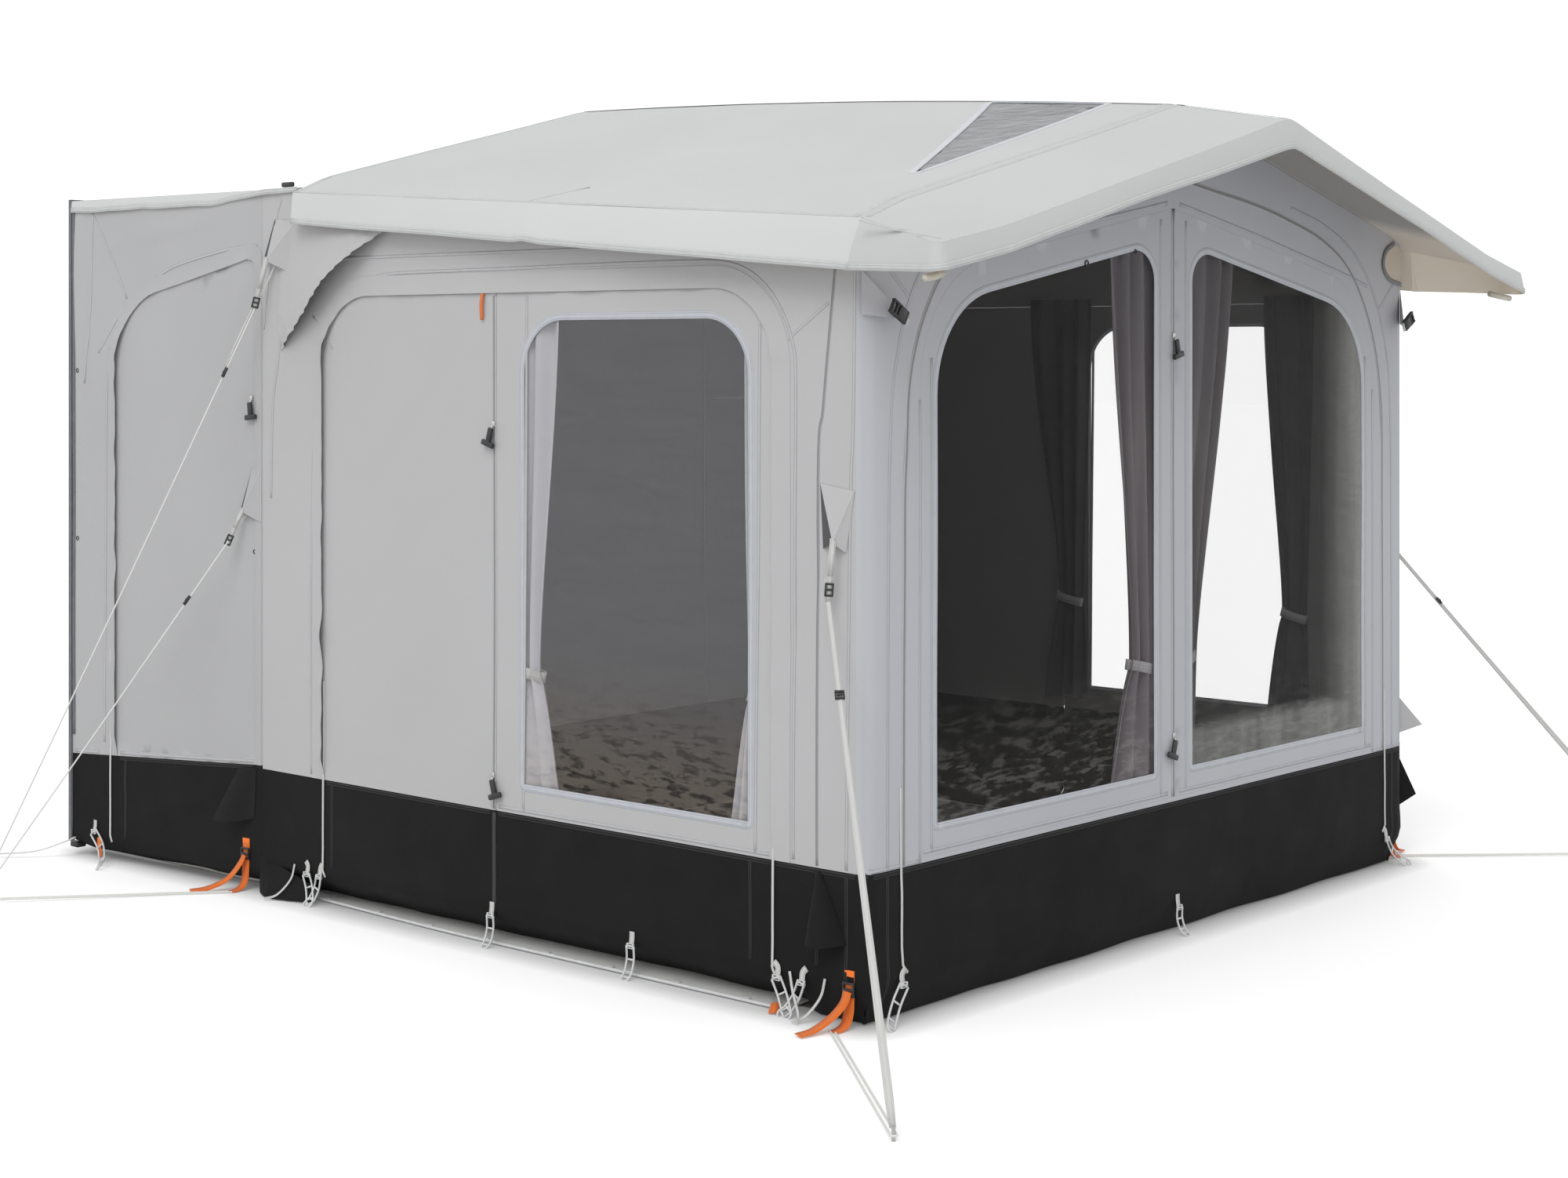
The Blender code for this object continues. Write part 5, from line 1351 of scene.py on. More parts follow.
for side, tag in SIDES:
    wall = side_wall(side)
    upper = [(CORNER, MUD)] + [(d, side_top(d)) for d in np.linspace(CORNER, EAVE_END, 40).tolist()]
    upper += [
        (EAVE_END + EAVE_CLEAR, side_top(EAVE_END)), (EAVE_END + EAVE_CLEAR, WALL_TOP),
        (DEPTH - GAP, WALL_TOP), (DEPTH - GAP, MUD), (ARCH_REAR + GAP, MUD),
    ]
    upper += arch_line(GAP)[1:-1] + [(ARCH_FRONT - GAP, MUD)]
    # the inside faces of the side walls, doors and windows take the darker inner cloth, painted shade
    cloth("side_cloth_" + tag, upper, wall, "shell", GREY, "wall_cloth", ["wall_" + tag], back_look=INNER_SHADE)
    mud_panel("side_mud_" + tag, oblong(ARCH_REAR + GAP, MUD_FOOT, DEPTH - GAP, MUD), wall, "shell")
    door_leaf = "door_" + tag
    door = rounded([
        (SPLIT_REAR, MUD, 0.0), (SPLIT_REAR, ARCH_TOP, 0.0), (ARCH_REAR, ARCH_TOP, ARCH_ROUND),
        (ARCH_REAR, MUD, 0.0),
    ])
    cloth("door_cloth_" + tag, door, wall, door_leaf, GREY, "wall_cloth", ["door_panel_" + tag],
          back_look=INNER_SHADE)
    mud_panel("door_mud_" + tag, oblong(SPLIT_REAR, MUD_FOOT, ARCH_REAR, MUD), wall, door_leaf)
    leaf = "window_leaf_" + tag
    panel = rounded([
        (ARCH_FRONT, MUD, 0.0), (ARCH_FRONT, ARCH_TOP, ARCH_ROUND), (SPLIT_FRONT, ARCH_TOP, 0.0),
        (SPLIT_FRONT, MUD, 0.0),
    ])
    window = side_window(0.0)
    cloth("window_cloth_" + tag, panel, wall, leaf, GREY, "wall_cloth", ["window_panel_" + tag], [window],
          back_look=INNER_SHADE)
    mud_panel("window_mud_" + tag, oblong(ARCH_FRONT, MUD_FOOT, SPLIT_FRONT, MUD), wall, leaf)
    film = SIDE_FILM if side < 0.0 else FAR_FILM
    cloth("window_film_" + tag, side_window(GAP), wall, leaf, film, "clear_film", ["window_foil_" + tag],
          thick=FILM_THICK)
    trims("window_border_" + tag, leaf, BORDER, "clear_film", wall, [(window + window[:1], 0.020, 0.0012)])
    trims("window_seams_" + tag, leaf, SEAM, "wall_cloth", wall, [
        [(1.165, 0.370), (1.150, 1.720)], [(0.345, 0.370), (0.330, 1.640)],
        ([(0.300, 0.372), (1.260, 0.372)], 0.012, 0.0011),
    ])
    trims("side_seams_" + tag, "shell", SEAM, "wall_cloth", wall, [
        (OUTER_STITCH, 0.010, 0.0012), [(1.98, 1.837), (0.05, 1.837)],
        ([(2.047, 1.676), (1.956, 1.582)], 0.008, 0.0010), ([(0.270, 1.585), (0.113, 1.689)], 0.008, 0.0010),
        CORNER_SEAM, FLAP_SEAM, (REAR_SEAM, 0.008, 0.0010),
    ])
    trims("sleeve_zip_" + tag, "shell", ZIPPER, "wall_cloth", wall, [(SLEEVE_ZIP, 0.009, 0.0014)])
    trims("side_zip_" + tag, door_leaf, ZIPPER, "wall_cloth", wall,
          [([(1.277, 0.365), (1.277, 1.722)], 0.018, 0.0016)])
    trims("side_zip_low_" + tag, door_leaf, MUD_ZIP, "mud_cloth", wall,
          [([(1.277, 0.355), (1.277, 0.090)], 0.016, 0.0016)])
    trims("door_mud_seams_" + tag, door_leaf, MUD_SEAM, "mud_cloth", wall, [
        ([(1.290, 0.352), (1.985, 0.352)], 0.012, 0.0011),
        [(1.960, 0.350), (1.960, 0.110)],
    ])
    trims("window_mud_seams_" + tag, leaf, MUD_SEAM, "mud_cloth", wall, [
        ([(0.295, 0.352), (1.262, 0.352)], 0.012, 0.0011),
        [(0.362, 0.350), (0.362, 0.110)],
    ])
    lip("zip_cover_" + tag, arch_line(0.002), 0.055, wall, 0.015, 50.0 + side, GREY)

    def flap_place(d, z, lift=0.0):
        """The flap is sewn along the eave and the corner, and its free edge hangs well off the wall."""
        near, share = min(
            (math.hypot(d - mix(a[0], b[0], t), z - mix(a[1], b[1], t)), (k + t) / (len(FREE_EDGE) - 1))
            for k, (a, b) in enumerate(zip(FREE_EDGE, FREE_EDGE[1:])) for t in (0.0, 0.25, 0.5, 0.75, 1.0)
        )
        free = max(0.0, 1.0 - near / 0.20) ** 1.5
        return wall(d, z, lift + 0.003 + 0.058 * free * max(math.sin(math.pi * share), 0.0) ** 0.8)

    outline = arc_path(FREE_EDGE, 5) + [(2.190, 1.955)]
    # the flap's underside is painted dark as shade
    cloth("gusset_" + tag, outline, flap_place, "shell", GREY, "wall_cloth", ["gusset_flap_" + tag],
          step=0.02, thick=0.0015, back_look=SHADED)


# Tunnel

def tunnel_mud(s):
    """Top of the black cloth, which gets lower towards the vehicle."""
    return mix(0.370, 0.320, s / TUNNEL_SLANT)


def tunnel_door_line(offset):
    first, last = 0.030 - offset, TUNNEL_DOOR_END + offset
    return rounded([
        (first, tunnel_mud(first), 0.0), (first, 1.850 + offset, 0.030),
        (last, 1.712 + offset, 0.240), (last, tunnel_mud(last), 0.0),
    ])


TUNNEL_STITCH = arc_path([
    (0.732, 0.370), (0.728, 1.000), (0.722, 1.478), (0.691, 1.617), (0.624, 1.709),
    (0.527, 1.770), (0.409, 1.828), (0.178, 1.872), (0.020, 1.886),
])


def tunnel_black(first, last):
    return [(first, LOW), (last, LOW), (last, tunnel_mud(last)), (first, tunnel_mud(first))]


for side, tag in SIDES:
    wall = tunnel_wall(side)
    cut = tunnel_door_line(GAP)
    outline = [(GAP, tunnel_mud(0.0)), (GAP, WALL_TOP), (TUNNEL_SLANT, WALL_TOP),
               (TUNNEL_SLANT, tunnel_mud(TUNNEL_SLANT))]
    outline += cut[::-1]
    cloth("tunnel_cloth_" + tag, outline, wall, "shell", TUNNEL_GREY, "wall_cloth",
          ["tunnel_wall_" + tag], step=0.025)
    mud_panel("tunnel_mud_" + tag, tunnel_black(TUNNEL_DOOR_END + GAP, TUNNEL_SLANT), wall, "shell")
    mud_panel("tunnel_mud_edge_" + tag, tunnel_black(GAP, 0.0297), wall, "shell")
    leaf = "tunnel_leaf_" + tag
    cloth("tunnel_door_cloth_" + tag, tunnel_door_line(0.0), wall, leaf, TUNNEL_GREY, "wall_cloth",
          ["tunnel_door_" + tag])
    mud_panel("tunnel_door_mud_" + tag, tunnel_black(0.030, TUNNEL_DOOR_END), wall, leaf)
    lip("tunnel_cover_" + tag, tunnel_door_line(0.002)[::-1], 0.045, wall, 0.013, 60.0 + side, TUNNEL_GREY)
    trims("tunnel_seams_" + tag, "shell", SEAM, "wall_cloth", wall, [
        (TUNNEL_STITCH, 0.010, 0.0012),
        (arc_path([(0.784, 1.992), (0.697, 1.865), (0.626, 1.736)]), 0.009, 0.0010),
        ([(0.765, 1.571), (0.640, 1.715)], 0.008, 0.0010),
        (arc_path([(0.790, 2.005), (0.803, 1.711), (0.834, 1.477)]), 0.008, 0.0010),
        ([(0.760, tunnel_mud(0.760) + 0.008), (0.880, tunnel_mud(0.880) + 0.008)], 0.010, 0.0010),
    ])
    trims("tunnel_door_seams_" + tag, leaf, SEAM, "wall_cloth", wall, [
        ([(0.040, tunnel_mud(0.040) + 0.010), (0.655, tunnel_mud(0.655) + 0.010)], 0.012, 0.0011),
    ])
    trims("tunnel_mud_seams_" + tag, leaf, MUD_SEAM, "mud_cloth", wall, [
        ([(0.040, tunnel_mud(0.040) - 0.008), (0.655, tunnel_mud(0.655) - 0.008)], 0.012, 0.0011),
        [(0.630, 0.322), (0.630, 0.080)],
    ])
    shape = Shape()
    points, normals = on(wall, [(TUNNEL_SLANT - 0.007, 0.380), (TUNNEL_SLANT - 0.007, 2.030)], 0.0012)
    shape.sweep(points, normals, ridge_profile(0.012, 0.0030))
    shape.make("tunnel_edge_band_" + tag, [RUBBER], "shell", "edge_rubber")
    shape = Shape()
    for s, z in ((0.868, 1.516), (0.868, 0.992), (0.035, 0.990)):
        here = wall(s, z, 0.0)
        out = (wall(s, z, 0.01) - here).normalized()
        shape.tube(circle(here + out * 0.0016, out.cross(UP), UP, 0.0055, 12), 0.0016, 6, closed=True)
    shape.make("tunnel_eyelets_" + tag, [PLASTIC], "shell", "black_plastic")


def tunnel_edge_x(d):
    return HALF_WIDTH + TUNNEL_FLARE * max(d - DEPTH, 0.0) / TUNNEL_LENGTH + 0.0036


ends = DEPTH + TUNNEL_LENGTH
outline = [(x, roof_end(x) + 0.006) for x in np.linspace(-HALF_WIDTH, HALF_WIDTH, 41).tolist()]
near, mid, far = (tunnel_edge_x(d) for d in (EAVE_END, DEPTH, ends))
outline = [(-near, EAVE_END + 0.010)] + outline[1:-1] + [(near, EAVE_END + 0.010)]
outline += [(mid, DEPTH), (far, ends), (-far, ends), (-mid, DEPTH)]
cloth("tunnel_top_sheet", outline, tunnel_top, "shell", ROOF, "roof_cloth", ["tunnel_roof"], step=0.04,
      back_look=UNDERSIDE)
for side, tag in SIDES:
    tops, outs, drops, flares = [], [], [], []
    for k in range(41):
        d = mix(EAVE_END + 0.012, ends, k / 40.0)
        tops.append(Vector((side * tunnel_edge_x(d), back(d), tunnel_height(tunnel_edge_x(d), d) - 0.001)))
        outs.append(Vector((side, 0.0, 0.0)))
        drops.append(mix(0.012, 0.037, smooth((d - 2.22) / 0.32)) + 0.004 * wave(9.0 * d, side, 0.0))
        flares.append(0.004)
    if side > 0.0:
        tops, outs, drops, flares = tops[::-1], outs[::-1], drops[::-1], flares[::-1]
    skirt("tunnel_skirt_" + tag, tops, outs, drops, flares, SKIRT, 8.0 + side, rows=3)
trims("tunnel_top_seams", "shell", ROOF_SEAM, "roof_cloth", tunnel_top, [
    ([(side * 1.270, 2.14), (side * 1.270, 2.28), (side * 1.325, ends - 0.01)], 0.012, 0.0012)
    for side in (-1.0, 1.0)
] + [([(-1.30, ends - 0.015), (1.30, ends - 0.015)], 0.014, 0.0012)])


def gable(x, t):
    """Point of the rear gable, a share of its height up."""
    d = roof_end(x) - 0.006
    low = TUNNEL_TOP - 0.020
    high = roof_height(x, d) - 0.004
    return Vector((x, back(d + 0.002 * wave(3.0 * x, t, 2.0)), mix(low, high, t)))


across, upward = np.linspace(-1.288, 1.288, 61).tolist(), np.linspace(0.0, 1.0, 10).tolist()
rows = [[gable(x, t) for x in across] for t in upward]
shape = Shape()
shape.grid(rows, [(x, 0.3 * t) for t in upward for x in across], CLOTH)
shape.make("gable_cloth", [GREY], "shell", "wall_cloth", ["rear_gable"])
FLAT_SIZES["gable_cloth"] = (2.58, 0.345, 0.56)


# Inner rear wall, with its zipped door

REAR_SET = 2.262
REAR_DOOR = 0.5503
REAR_DOOR_TOP = 1.850
REAR_EDGE = 1.2987
REAR_TOP = TUNNEL_TOP - 0.0207
REAR_CREASES = (
    ((-1.20, 1.75), (-0.70, 0.95), 0.030, 0.008), ((-1.10, 1.30), (-0.60, 0.60), 0.035, -0.007),
    ((-0.95, 1.80), (-0.62, 1.30), 0.025, 0.007), ((0.65, 1.70), (1.15, 0.90), 0.030, 0.008),
    ((-0.45, 1.60), (0.05, 0.80), 0.035, 0.008), ((0.10, 1.50), (0.45, 0.75), 0.030, -0.007),
    ((-0.40, 1.00), (0.30, 0.50), 0.030, 0.006), ((0.70, 1.10), (1.20, 0.55), 0.030, -0.006),
)


def rear(x, z, lift=0.0):
    """Lift is towards the front."""
    edge = smooth((REAR_EDGE - abs(x)) / 0.15) * smooth((2.0 - z) / 0.10)
    soft = 0.004 * wave(2.6 * x, 1.7 * z, 91.0) + 0.0015 * wave(8.0 * x, 4.0 * z, 93.0)
    folds = sum(crease(x, z, (a, b), w, e) for a, b, w, e in REAR_CREASES)
    return Vector((x, back(REAR_SET) - lift - edge * (soft + folds), z))


def rear_door_line(offset, low):
    half, top = REAR_DOOR + offset, REAR_DOOR_TOP + offset
    return rounded([(-half, low, 0.0), (-half, top, 0.200), (half, top, 0.200), (half, low, 0.0)])


cut = rear_door_line(0.0, MUD)
outline = [(-REAR_EDGE, MUD), (-REAR_EDGE, REAR_TOP), (REAR_EDGE, REAR_TOP), (REAR_EDGE, MUD)] + cut[::-1]
# the rear wall and its door are painted darker as shade
cloth("rear_cloth", outline, rear, "shell", REAR_SHADE_GREY, "wall_cloth", ["rear_wall"])
for side, tag in SIDES:
    ends = sorted((side * REAR_DOOR, side * REAR_EDGE))
    cloth("rear_mud_" + tag, oblong(ends[0], MUD_FOOT, ends[1], MUD), rear, "shell", BLACK, "mud_cloth")
cloth("rear_door_cloth", rear_door_line(-GAP, MUD), rear, "rear_leaf", REAR_SHADE_GREY, "wall_cloth",
      ["rear_door_panel"])
cloth("rear_door_mud", oblong(-0.550, MUD_FOOT, 0.550, MUD), rear, "rear_leaf", BLACK, "mud_cloth")
trims("rear_seams", "shell", SEAM, "wall_cloth", rear, [
    ([(-1.29, 1.413), (-0.60, 1.413)], 0.010, 0.0012), ([(0.60, 1.413), (1.29, 1.413)], 0.010, 0.0012),
    ([(-0.86, 0.370), (-0.86, 1.990)], 0.010, 0.0012), ([(0.86, 0.370), (0.86, 1.990)], 0.010, 0.0012),
])
trims("rear_zip", "shell", ZIPPER, "wall_cloth", rear, [(rear_door_line(0.012, 0.365), 0.014, 0.0018)])


def floor_place(x, d, lift=0.0):
    """The floor lies in low waves that fade out at its edges."""
    near = smooth(min(1.24 - abs(x), d - 0.085, 3.122 - d) / 0.10)
    return Vector((x, back(d), 0.0012 + lift + 0.0030 * near * (0.55 + wave(2.5 * x, 2.5 * d, 13.0))))


cloth("floor_cloth", oblong(-1.230, 0.090, 1.230, 3.115), floor_place, "shell", FLOOR, "floor_sheet",
      ["groundsheet"], step=0.07, thick=FILM_THICK)


# Frame inside

def filleted(corners, radius, steps):
    points = [Vector(corners[0])]
    for i in range(1, len(corners) - 1):
        here = Vector(corners[i])
        before = (Vector(corners[i - 1]) - here).normalized()
        after = (Vector(corners[i + 1]) - here).normalized()
        cut = radius / math.tan(before.angle(after) / 2.0)
        for k in range(steps + 1):
            t = k / steps
            a, b = here + before * cut, here + after * cut
            points.append(a.lerp(here, t).lerp(here.lerp(b, t), t))
    points.append(Vector(corners[-1]))
    return points


BEAM_RADIUS = 0.058
TUBE_RADIUS = 0.0540
RING_RADIUS = 0.0547
FOOT_HEIGHT = 0.30
FOOT_LEAN = 0.13
FOOT_SHIFT = 0.055


def beam(name, node):
    """Inflated arch with a seam ring every metre; its feet lean inwards, off the tucked mud wall."""
    low, high = (Vector(corner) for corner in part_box(node))
    y = (low.y + high.y) / 2.0
    leg = high.x - BEAM_RADIUS
    d = y + ORIGIN_BACK
    drop = BEAM_RADIUS * 1.06 + CLOTH * 1.25 + 2.0 * GAP
    apex = ridge_height(d) - drop
    slope = (apex + drop - fold_height(d) - SHOULDER_RISE) / SHOULDER_X
    eave = apex - slope * leg - 0.004
    corners = [(-leg, y, 0.004), (-leg, y, eave), (0.0, y, apex), (leg, y, eave), (leg, y, 0.004)]
    path = filleted(corners, 0.160, 8)
    path = [Vector(p) for p in spaced([tuple(p) for p in path], 0.07)]
    for p in path:
        near = smooth((FOOT_HEIGHT - p.z) / 0.26)
        p.x *= 1.0 - FOOT_LEAN * near
        p.y += FOOT_SHIFT * near * (1.0 if d < 1.0 else -1.0)
    shape = Shape()
    shape.tube(path, TUBE_RADIUS, 20)
    for k in range(10, len(path) - 10, 15):
        way = (path[k + 1] - path[k - 1]).normalized()
        aside = way.cross(REARWARD).normalized()
        shape.tube(circle(path[k], aside, REARWARD, RING_RADIUS, 20), 0.0012, 5, closed=True)
    shape.make(name, [TUBE], "shell", "air_tube", [node])


beam("front_beam", "air_beam_front")
beam("rear_beam", "air_beam_rear")
low, high = (Vector(corner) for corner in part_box("ridge_strut"))
shape = Shape()
start = Vector((0.0, low.y, low.z + 0.0455))
end = Vector((0.0, high.y, high.z - 0.0455))
shape.tube([start.lerp(end, k / 12.0) for k in range(13)], 0.0445, 18)
shape.make("ridge_tube", [TUBE], "shell", "air_tube", ["ridge_strut"])


# Curtains

CURTAIN_HEM = 0.395
CURTAIN_TIE = 0.735


def curtain(name, node, body, lay, top, widths, folds, seed, look, tie_look):
    """Curtain gathered at its tie, with pleats that run from the rail to the tie and open below it.

    The widths are its (first, last) place at the rail, at the tie and at the hem.
    """
    high, waist, low = widths
    hem, tie = CURTAIN_HEM, CURTAIN_TIE

    def span(height):
        if height > tie:
            ease = smooth((height - tie) / (top - tie)) ** 0.8
            return [mix(waist[k], high[k], ease) for k in (0, 1)]
        ease = ((tie - height) / (tie - hem)) ** 0.7
        return [mix(waist[k], low[k], ease) for k in (0, 1)]

    rows, uvs = [], []
    across = 16 * folds
    for i in range(49):
        height = mix(hem, top, i / 48.0)
        first, last = span(height)
        row = []
        for k in range(across + 1):
            u = k / across
            sway = 0.9 * wave(1.5 * u * folds, 0.8 * height, seed) * min(1.0, (top - height) / 0.3)
            turn = 2.0 * math.pi * folds * (u + 0.16 * wave(2.4 * u, 0.9 * height, seed + 4.0)) + sway
            pleat = 0.5 - 0.5 * math.cos(turn)
            depth = 0.0275 * pleat ** 0.8 * (0.85 + 0.15 * math.sin(5.0 * height + 7.0 * u))
            row.append(lay(mix(first, last, u) + 0.004 * math.sin(turn), max(depth, 0.0) + 0.0012, height))
            uvs.append((u * (last - first) * 2.0, height))
        rows.append(row)
    shape = Shape()
    shape.grid(rows, uvs, THIN)
    a, b = (lay(x, 0.017, tie) for x in waist)
    mid = (a + b) / 2.0
    reach_x = (b - a).length / 2.0 + 0.006
    along = (b - a).normalized()
    aside = along.cross(UP)
    ring = []
    for t in (2.0 * math.pi * k / 28.0 for k in range(28)):
        flat = along * reach_x * math.cos(t) + aside * 0.017 * math.sin(t)
        ring.append(mid + flat + UP * 0.012 * math.cos(t))
    normals = [(p - mid).normalized() for p in ring]
    shape.sweep(ring, normals, flat_profile(0.028, 0.002), 1, closed=True)
    item = shape.make(name, [look, tie_look], body, "curtain_cloth", [node])
    FLAT_SIZES[name] = (length_of(rows[-1]), top - hem, None)
    return item


SEAT = CLOTH / 2.0 + GAP


def front_lay(side):
    return lambda x, depth, height: Vector((side * x, back(SEAT + depth), height))


def side_lay(side):
    return lambda d, depth, height: Vector((side * (HALF_WIDTH - SEAT - depth), back(d), height))


REAR_CURTAIN = {
    "left": ((1.034, 1.240), (1.108, 1.225), (1.032, 1.250)),
    "right": ((1.160, 1.410), (1.190, 1.281), (1.175, 1.350)),
}
FRONT_CURTAIN = {
    "left": ((0.300, 0.385), (0.322, 0.378), (0.312, 0.440)),
    "right": ((0.310, 0.490), (0.330, 0.410), (0.320, 0.470)),
}
CENTRE_CURTAIN = {
    "left": ((0.050, 0.300), (0.085, 0.190), (0.060, 0.300)),
    "right": ((0.050, 0.325), (0.050, 0.128), (0.050, 0.125)),
}
# painted light and shade: the left side curtains take the paler lit copy of the cloth, the right ones and
# the right centre curtain darker copies as shade
CURTAIN_LOOKS = {"left": (LIT_CURTAIN, WEBBING), "right": (SHADED_FAR_CURTAIN, CURTAIN_SEAM)}
for side, tag in SIDES:
    name = "curtain_front_" + tag
    curtain(name + "_drape", name, name + "_body", front_lay(side), 1.985,
                            CENTRE_CURTAIN[tag], 3, 70.0 + side, SHADED_CURTAIN if side > 0.0 else CURTAIN,
                            CURTAIN_SEAM)
    for name, widths, seed in (
        ("curtain_" + tag + "_rear", REAR_CURTAIN[tag], 75.0),
        ("curtain_" + tag + "_front", FRONT_CURTAIN[tag], 80.0),
    ):
        curtain(name + "_drape", name, name + "_body", side_lay(side), 1.752,
                                widths, 3, seed + side, *CURTAIN_LOOKS[tag])


# Straps, buckles and other small pieces

def axes_of(run, out):
    """Three directions: along, across and out."""
    run = Vector(run).normalized()
    out = Vector(out)
    out = (out - run * out.dot(run)).normalized()
    return run, out.cross(run), out


def ladder_lock(shape, centre, run, out, width, length, thick, look):
    """Strap adjuster: two side rails and three bars."""
    axes = axes_of(run, out)
    a, b, c = axes
    centre = Vector(centre)
    for s in (-1.0, 1.0):
        shape.box(centre + b * (s * (width / 2.0 - 0.002)), (length, 0.004, thick), axes, 0.0012, look)
    for t, high in ((-0.42, 0.0), (0.0, 0.25), (0.42, 0.0)):
        size = (0.16 * length, width - 0.002, 0.7 * thick)
        shape.box(centre + a * (t * length) + c * (high * thick), size, axes, 0.0008, look)


def band(shape, points, outs, width, thick, look=0):
    shape.sweep(points, outs, flat_profile(width, thick), look)


def pegging_strap(name, side, distance, top, node, drift):
    """Orange strap: sewn to the wall, through its adjuster and out along the ground, with a loose tail."""
    spot, out = strap_seat(side, distance)
    along = Vector((-out.y, out.x, 0.0))
    low = top - 0.062
    shape = Shape()
    places = [(0.0015, top), (0.0015, top - 0.015), (0.0015, low + 0.03), (0.003, low)]
    places += [(0.006, 0.035), (0.018, 0.012), (0.040, 0.0035), (0.060, 0.003)]
    points = curve_through([spot + out * reach + UP * z for reach, z in places], 5)
    outs = []
    for i in range(len(points)):
        tangent = (points[min(i + 1, len(points) - 1)] - points[max(i - 1, 0)]).normalized()
        upper = along.cross(tangent)
        outs.append(upper if upper.dot(out + UP) > 0.0 else -upper)
    band(shape, points, outs, 0.0290, 0.0020)
    shape.box(spot + out * 0.0025 + UP * (top - 0.008), (0.029, 0.0016, 0.014), (along, out, UP), 0.0006)
    centre = spot + out * 0.0065 + UP * (top - 0.044)
    ladder_lock(shape, centre, UP, out, 0.034, 0.034, 0.007, 1)
    places = [centre + out * 0.004 - UP * 0.004]
    places.append(centre + out * 0.013 - UP * 0.030 + REARWARD * (0.1 * drift))
    # the loose tail lies down on the ground
    for reach, height, share in ((0.050, 0.034, 0.35), (0.100, 0.011, 0.7), (0.145, 0.006, 1.0)):
        places.append(spot + out * reach + UP * height + REARWARD * (share * drift))
    tail = curve_through(places, 6)
    band(shape, tail, [out * 0.6 + UP] * len(tail), 0.027, 0.0016)
    shape.make(name, [ORANGE, PLASTIC], "shell", "orange_webbing", [node])


for side, tag in SIDES:
    pegging_strap("pegging_strap_" + tag, side, FRONT_STRAP, 0.135, "strap_front_" + tag, 0.035)
pegging_strap("pegging_strap_rear", -1.0, REAR_STRAP, 0.150, "strap_rear_left", 0.085)


def toggle(name, node, body, surface, at, lean):
    """Zip puller: slider body on the coil, a link and a moulded T bar that hangs from it."""
    p, q = at
    here = surface(p, q, 0.0)
    out = (surface(p, q, 0.01) - here).normalized()
    along = UP.cross(out).normalized()
    axes = (UP, along, out)
    shape = Shape()
    shape.box(here + out * 0.0048 + UP * 0.008, (0.016, 0.011, 0.0055), axes, 0.0018, 1)
    hang = (along * lean - UP).normalized()
    top = here + out * 0.0095 + UP * 0.004
    shape.tube([top, top + hang * 0.014], 0.0018, 6, 1)
    low = top + hang * 0.028 + out * 0.003
    aside = hang.cross(out).normalized()
    shape.box(low, (0.042, 0.016, 0.0090), (hang, aside, out), 0.0036)
    shape.box(low + hang * 0.023, (0.015, 0.046, 0.0100), (hang, aside, out), 0.0040)
    shape.make(name, [PLASTIC, STEEL], body, "black_plastic", [node])


left = side_wall(-1.0)
toggle("front_pull_upper", "puller_front_upper", "puller_front_upper_body", front, (-0.004, 1.610), 0.25)
toggle("front_pull_lower", "puller_front_lower", "puller_front_lower_body", front, (-0.004, 0.530), -0.35)
toggle("side_pull_upper", "puller_left_upper", "puller_left_upper_body", left, (1.277, 1.375), -0.3)
toggle("side_pull_lower", "puller_left_lower", "puller_left_lower_body", left, (1.277, 0.445), 0.3)
toggle("tunnel_pull", "puller_tunnel_left", "puller_tunnel_left_body", tunnel_wall(-1.0), (0.046, 1.430),
       0.1)


def guy_slider(name, node, line, radius, length):
    """Adjuster on a guy line: a barrel with a waist and two flanges."""
    start, end, share = line
    run = (end - start).normalized()
    middle = start.lerp(end, share)
    out = UP - run * run.z
    axes = axes_of(run, out)
    a, b, c = axes
    shape = Shape()
    for s in (-1.0, 1.0):
        shape.box(middle + b * (s * (radius + 0.0035)), (length, 0.0035, 0.009), axes, 0.0012)
        shape.box(middle + a * (s * length * 0.40), (0.005, 2.0 * radius + 0.010, 0.007), axes, 0.0012)
    shape.box(middle + c * 0.004, (0.006, 2.0 * radius + 0.008, 0.004), axes, 0.0010)
    shape.make(name, [PLASTIC], node + "_body", "black_plastic", [node])


for side, tag in SIDES:
    guy_slider("front_adjuster_" + tag, "slider_front_" + tag, LINES["front_" + tag], 0.006, 0.022)
guy_slider("rear_adjuster_upper", "slider_rear_left_upper", LINES["rear_upper"], 0.0022, 0.030)
guy_slider("rear_adjuster_lower", "slider_rear_left_lower", LINES["rear_lower"], 0.0022, 0.030)


def facet(shape, a, b, c, look=0):
    """Small gusset of cloth: a triangle bowed a little between its corners."""
    a, b, c = Vector(a), Vector(b), Vector(c)
    steps = 5
    way = (b - a).cross(c - a).normalized()
    index = {}
    flat, uvs = [], []
    for i in range(steps + 1):
        for k in range(steps + 1 - i):
            u, v = i / steps, k / steps
            w = 1.0 - u - v
            index[(i, k)] = len(flat)
            flat.append(a * w + b * u + c * v + way * (0.018 * u * v * w * (b - a).length * 27.0 * 0.4))
            uvs.append((u * (b - a).length, v * (c - a).length))
    tris = []
    for i in range(steps):
        for k in range(steps - i):
            tris.append((index[(i, k)], index[(i + 1, k)], index[(i, k + 1)]))
            if i + k + 2 <= steps:
                tris.append((index[(i + 1, k)], index[(i + 1, k + 1)], index[(i, k + 1)]))
    shape.solid(flat, tris, uvs, THIN, look)


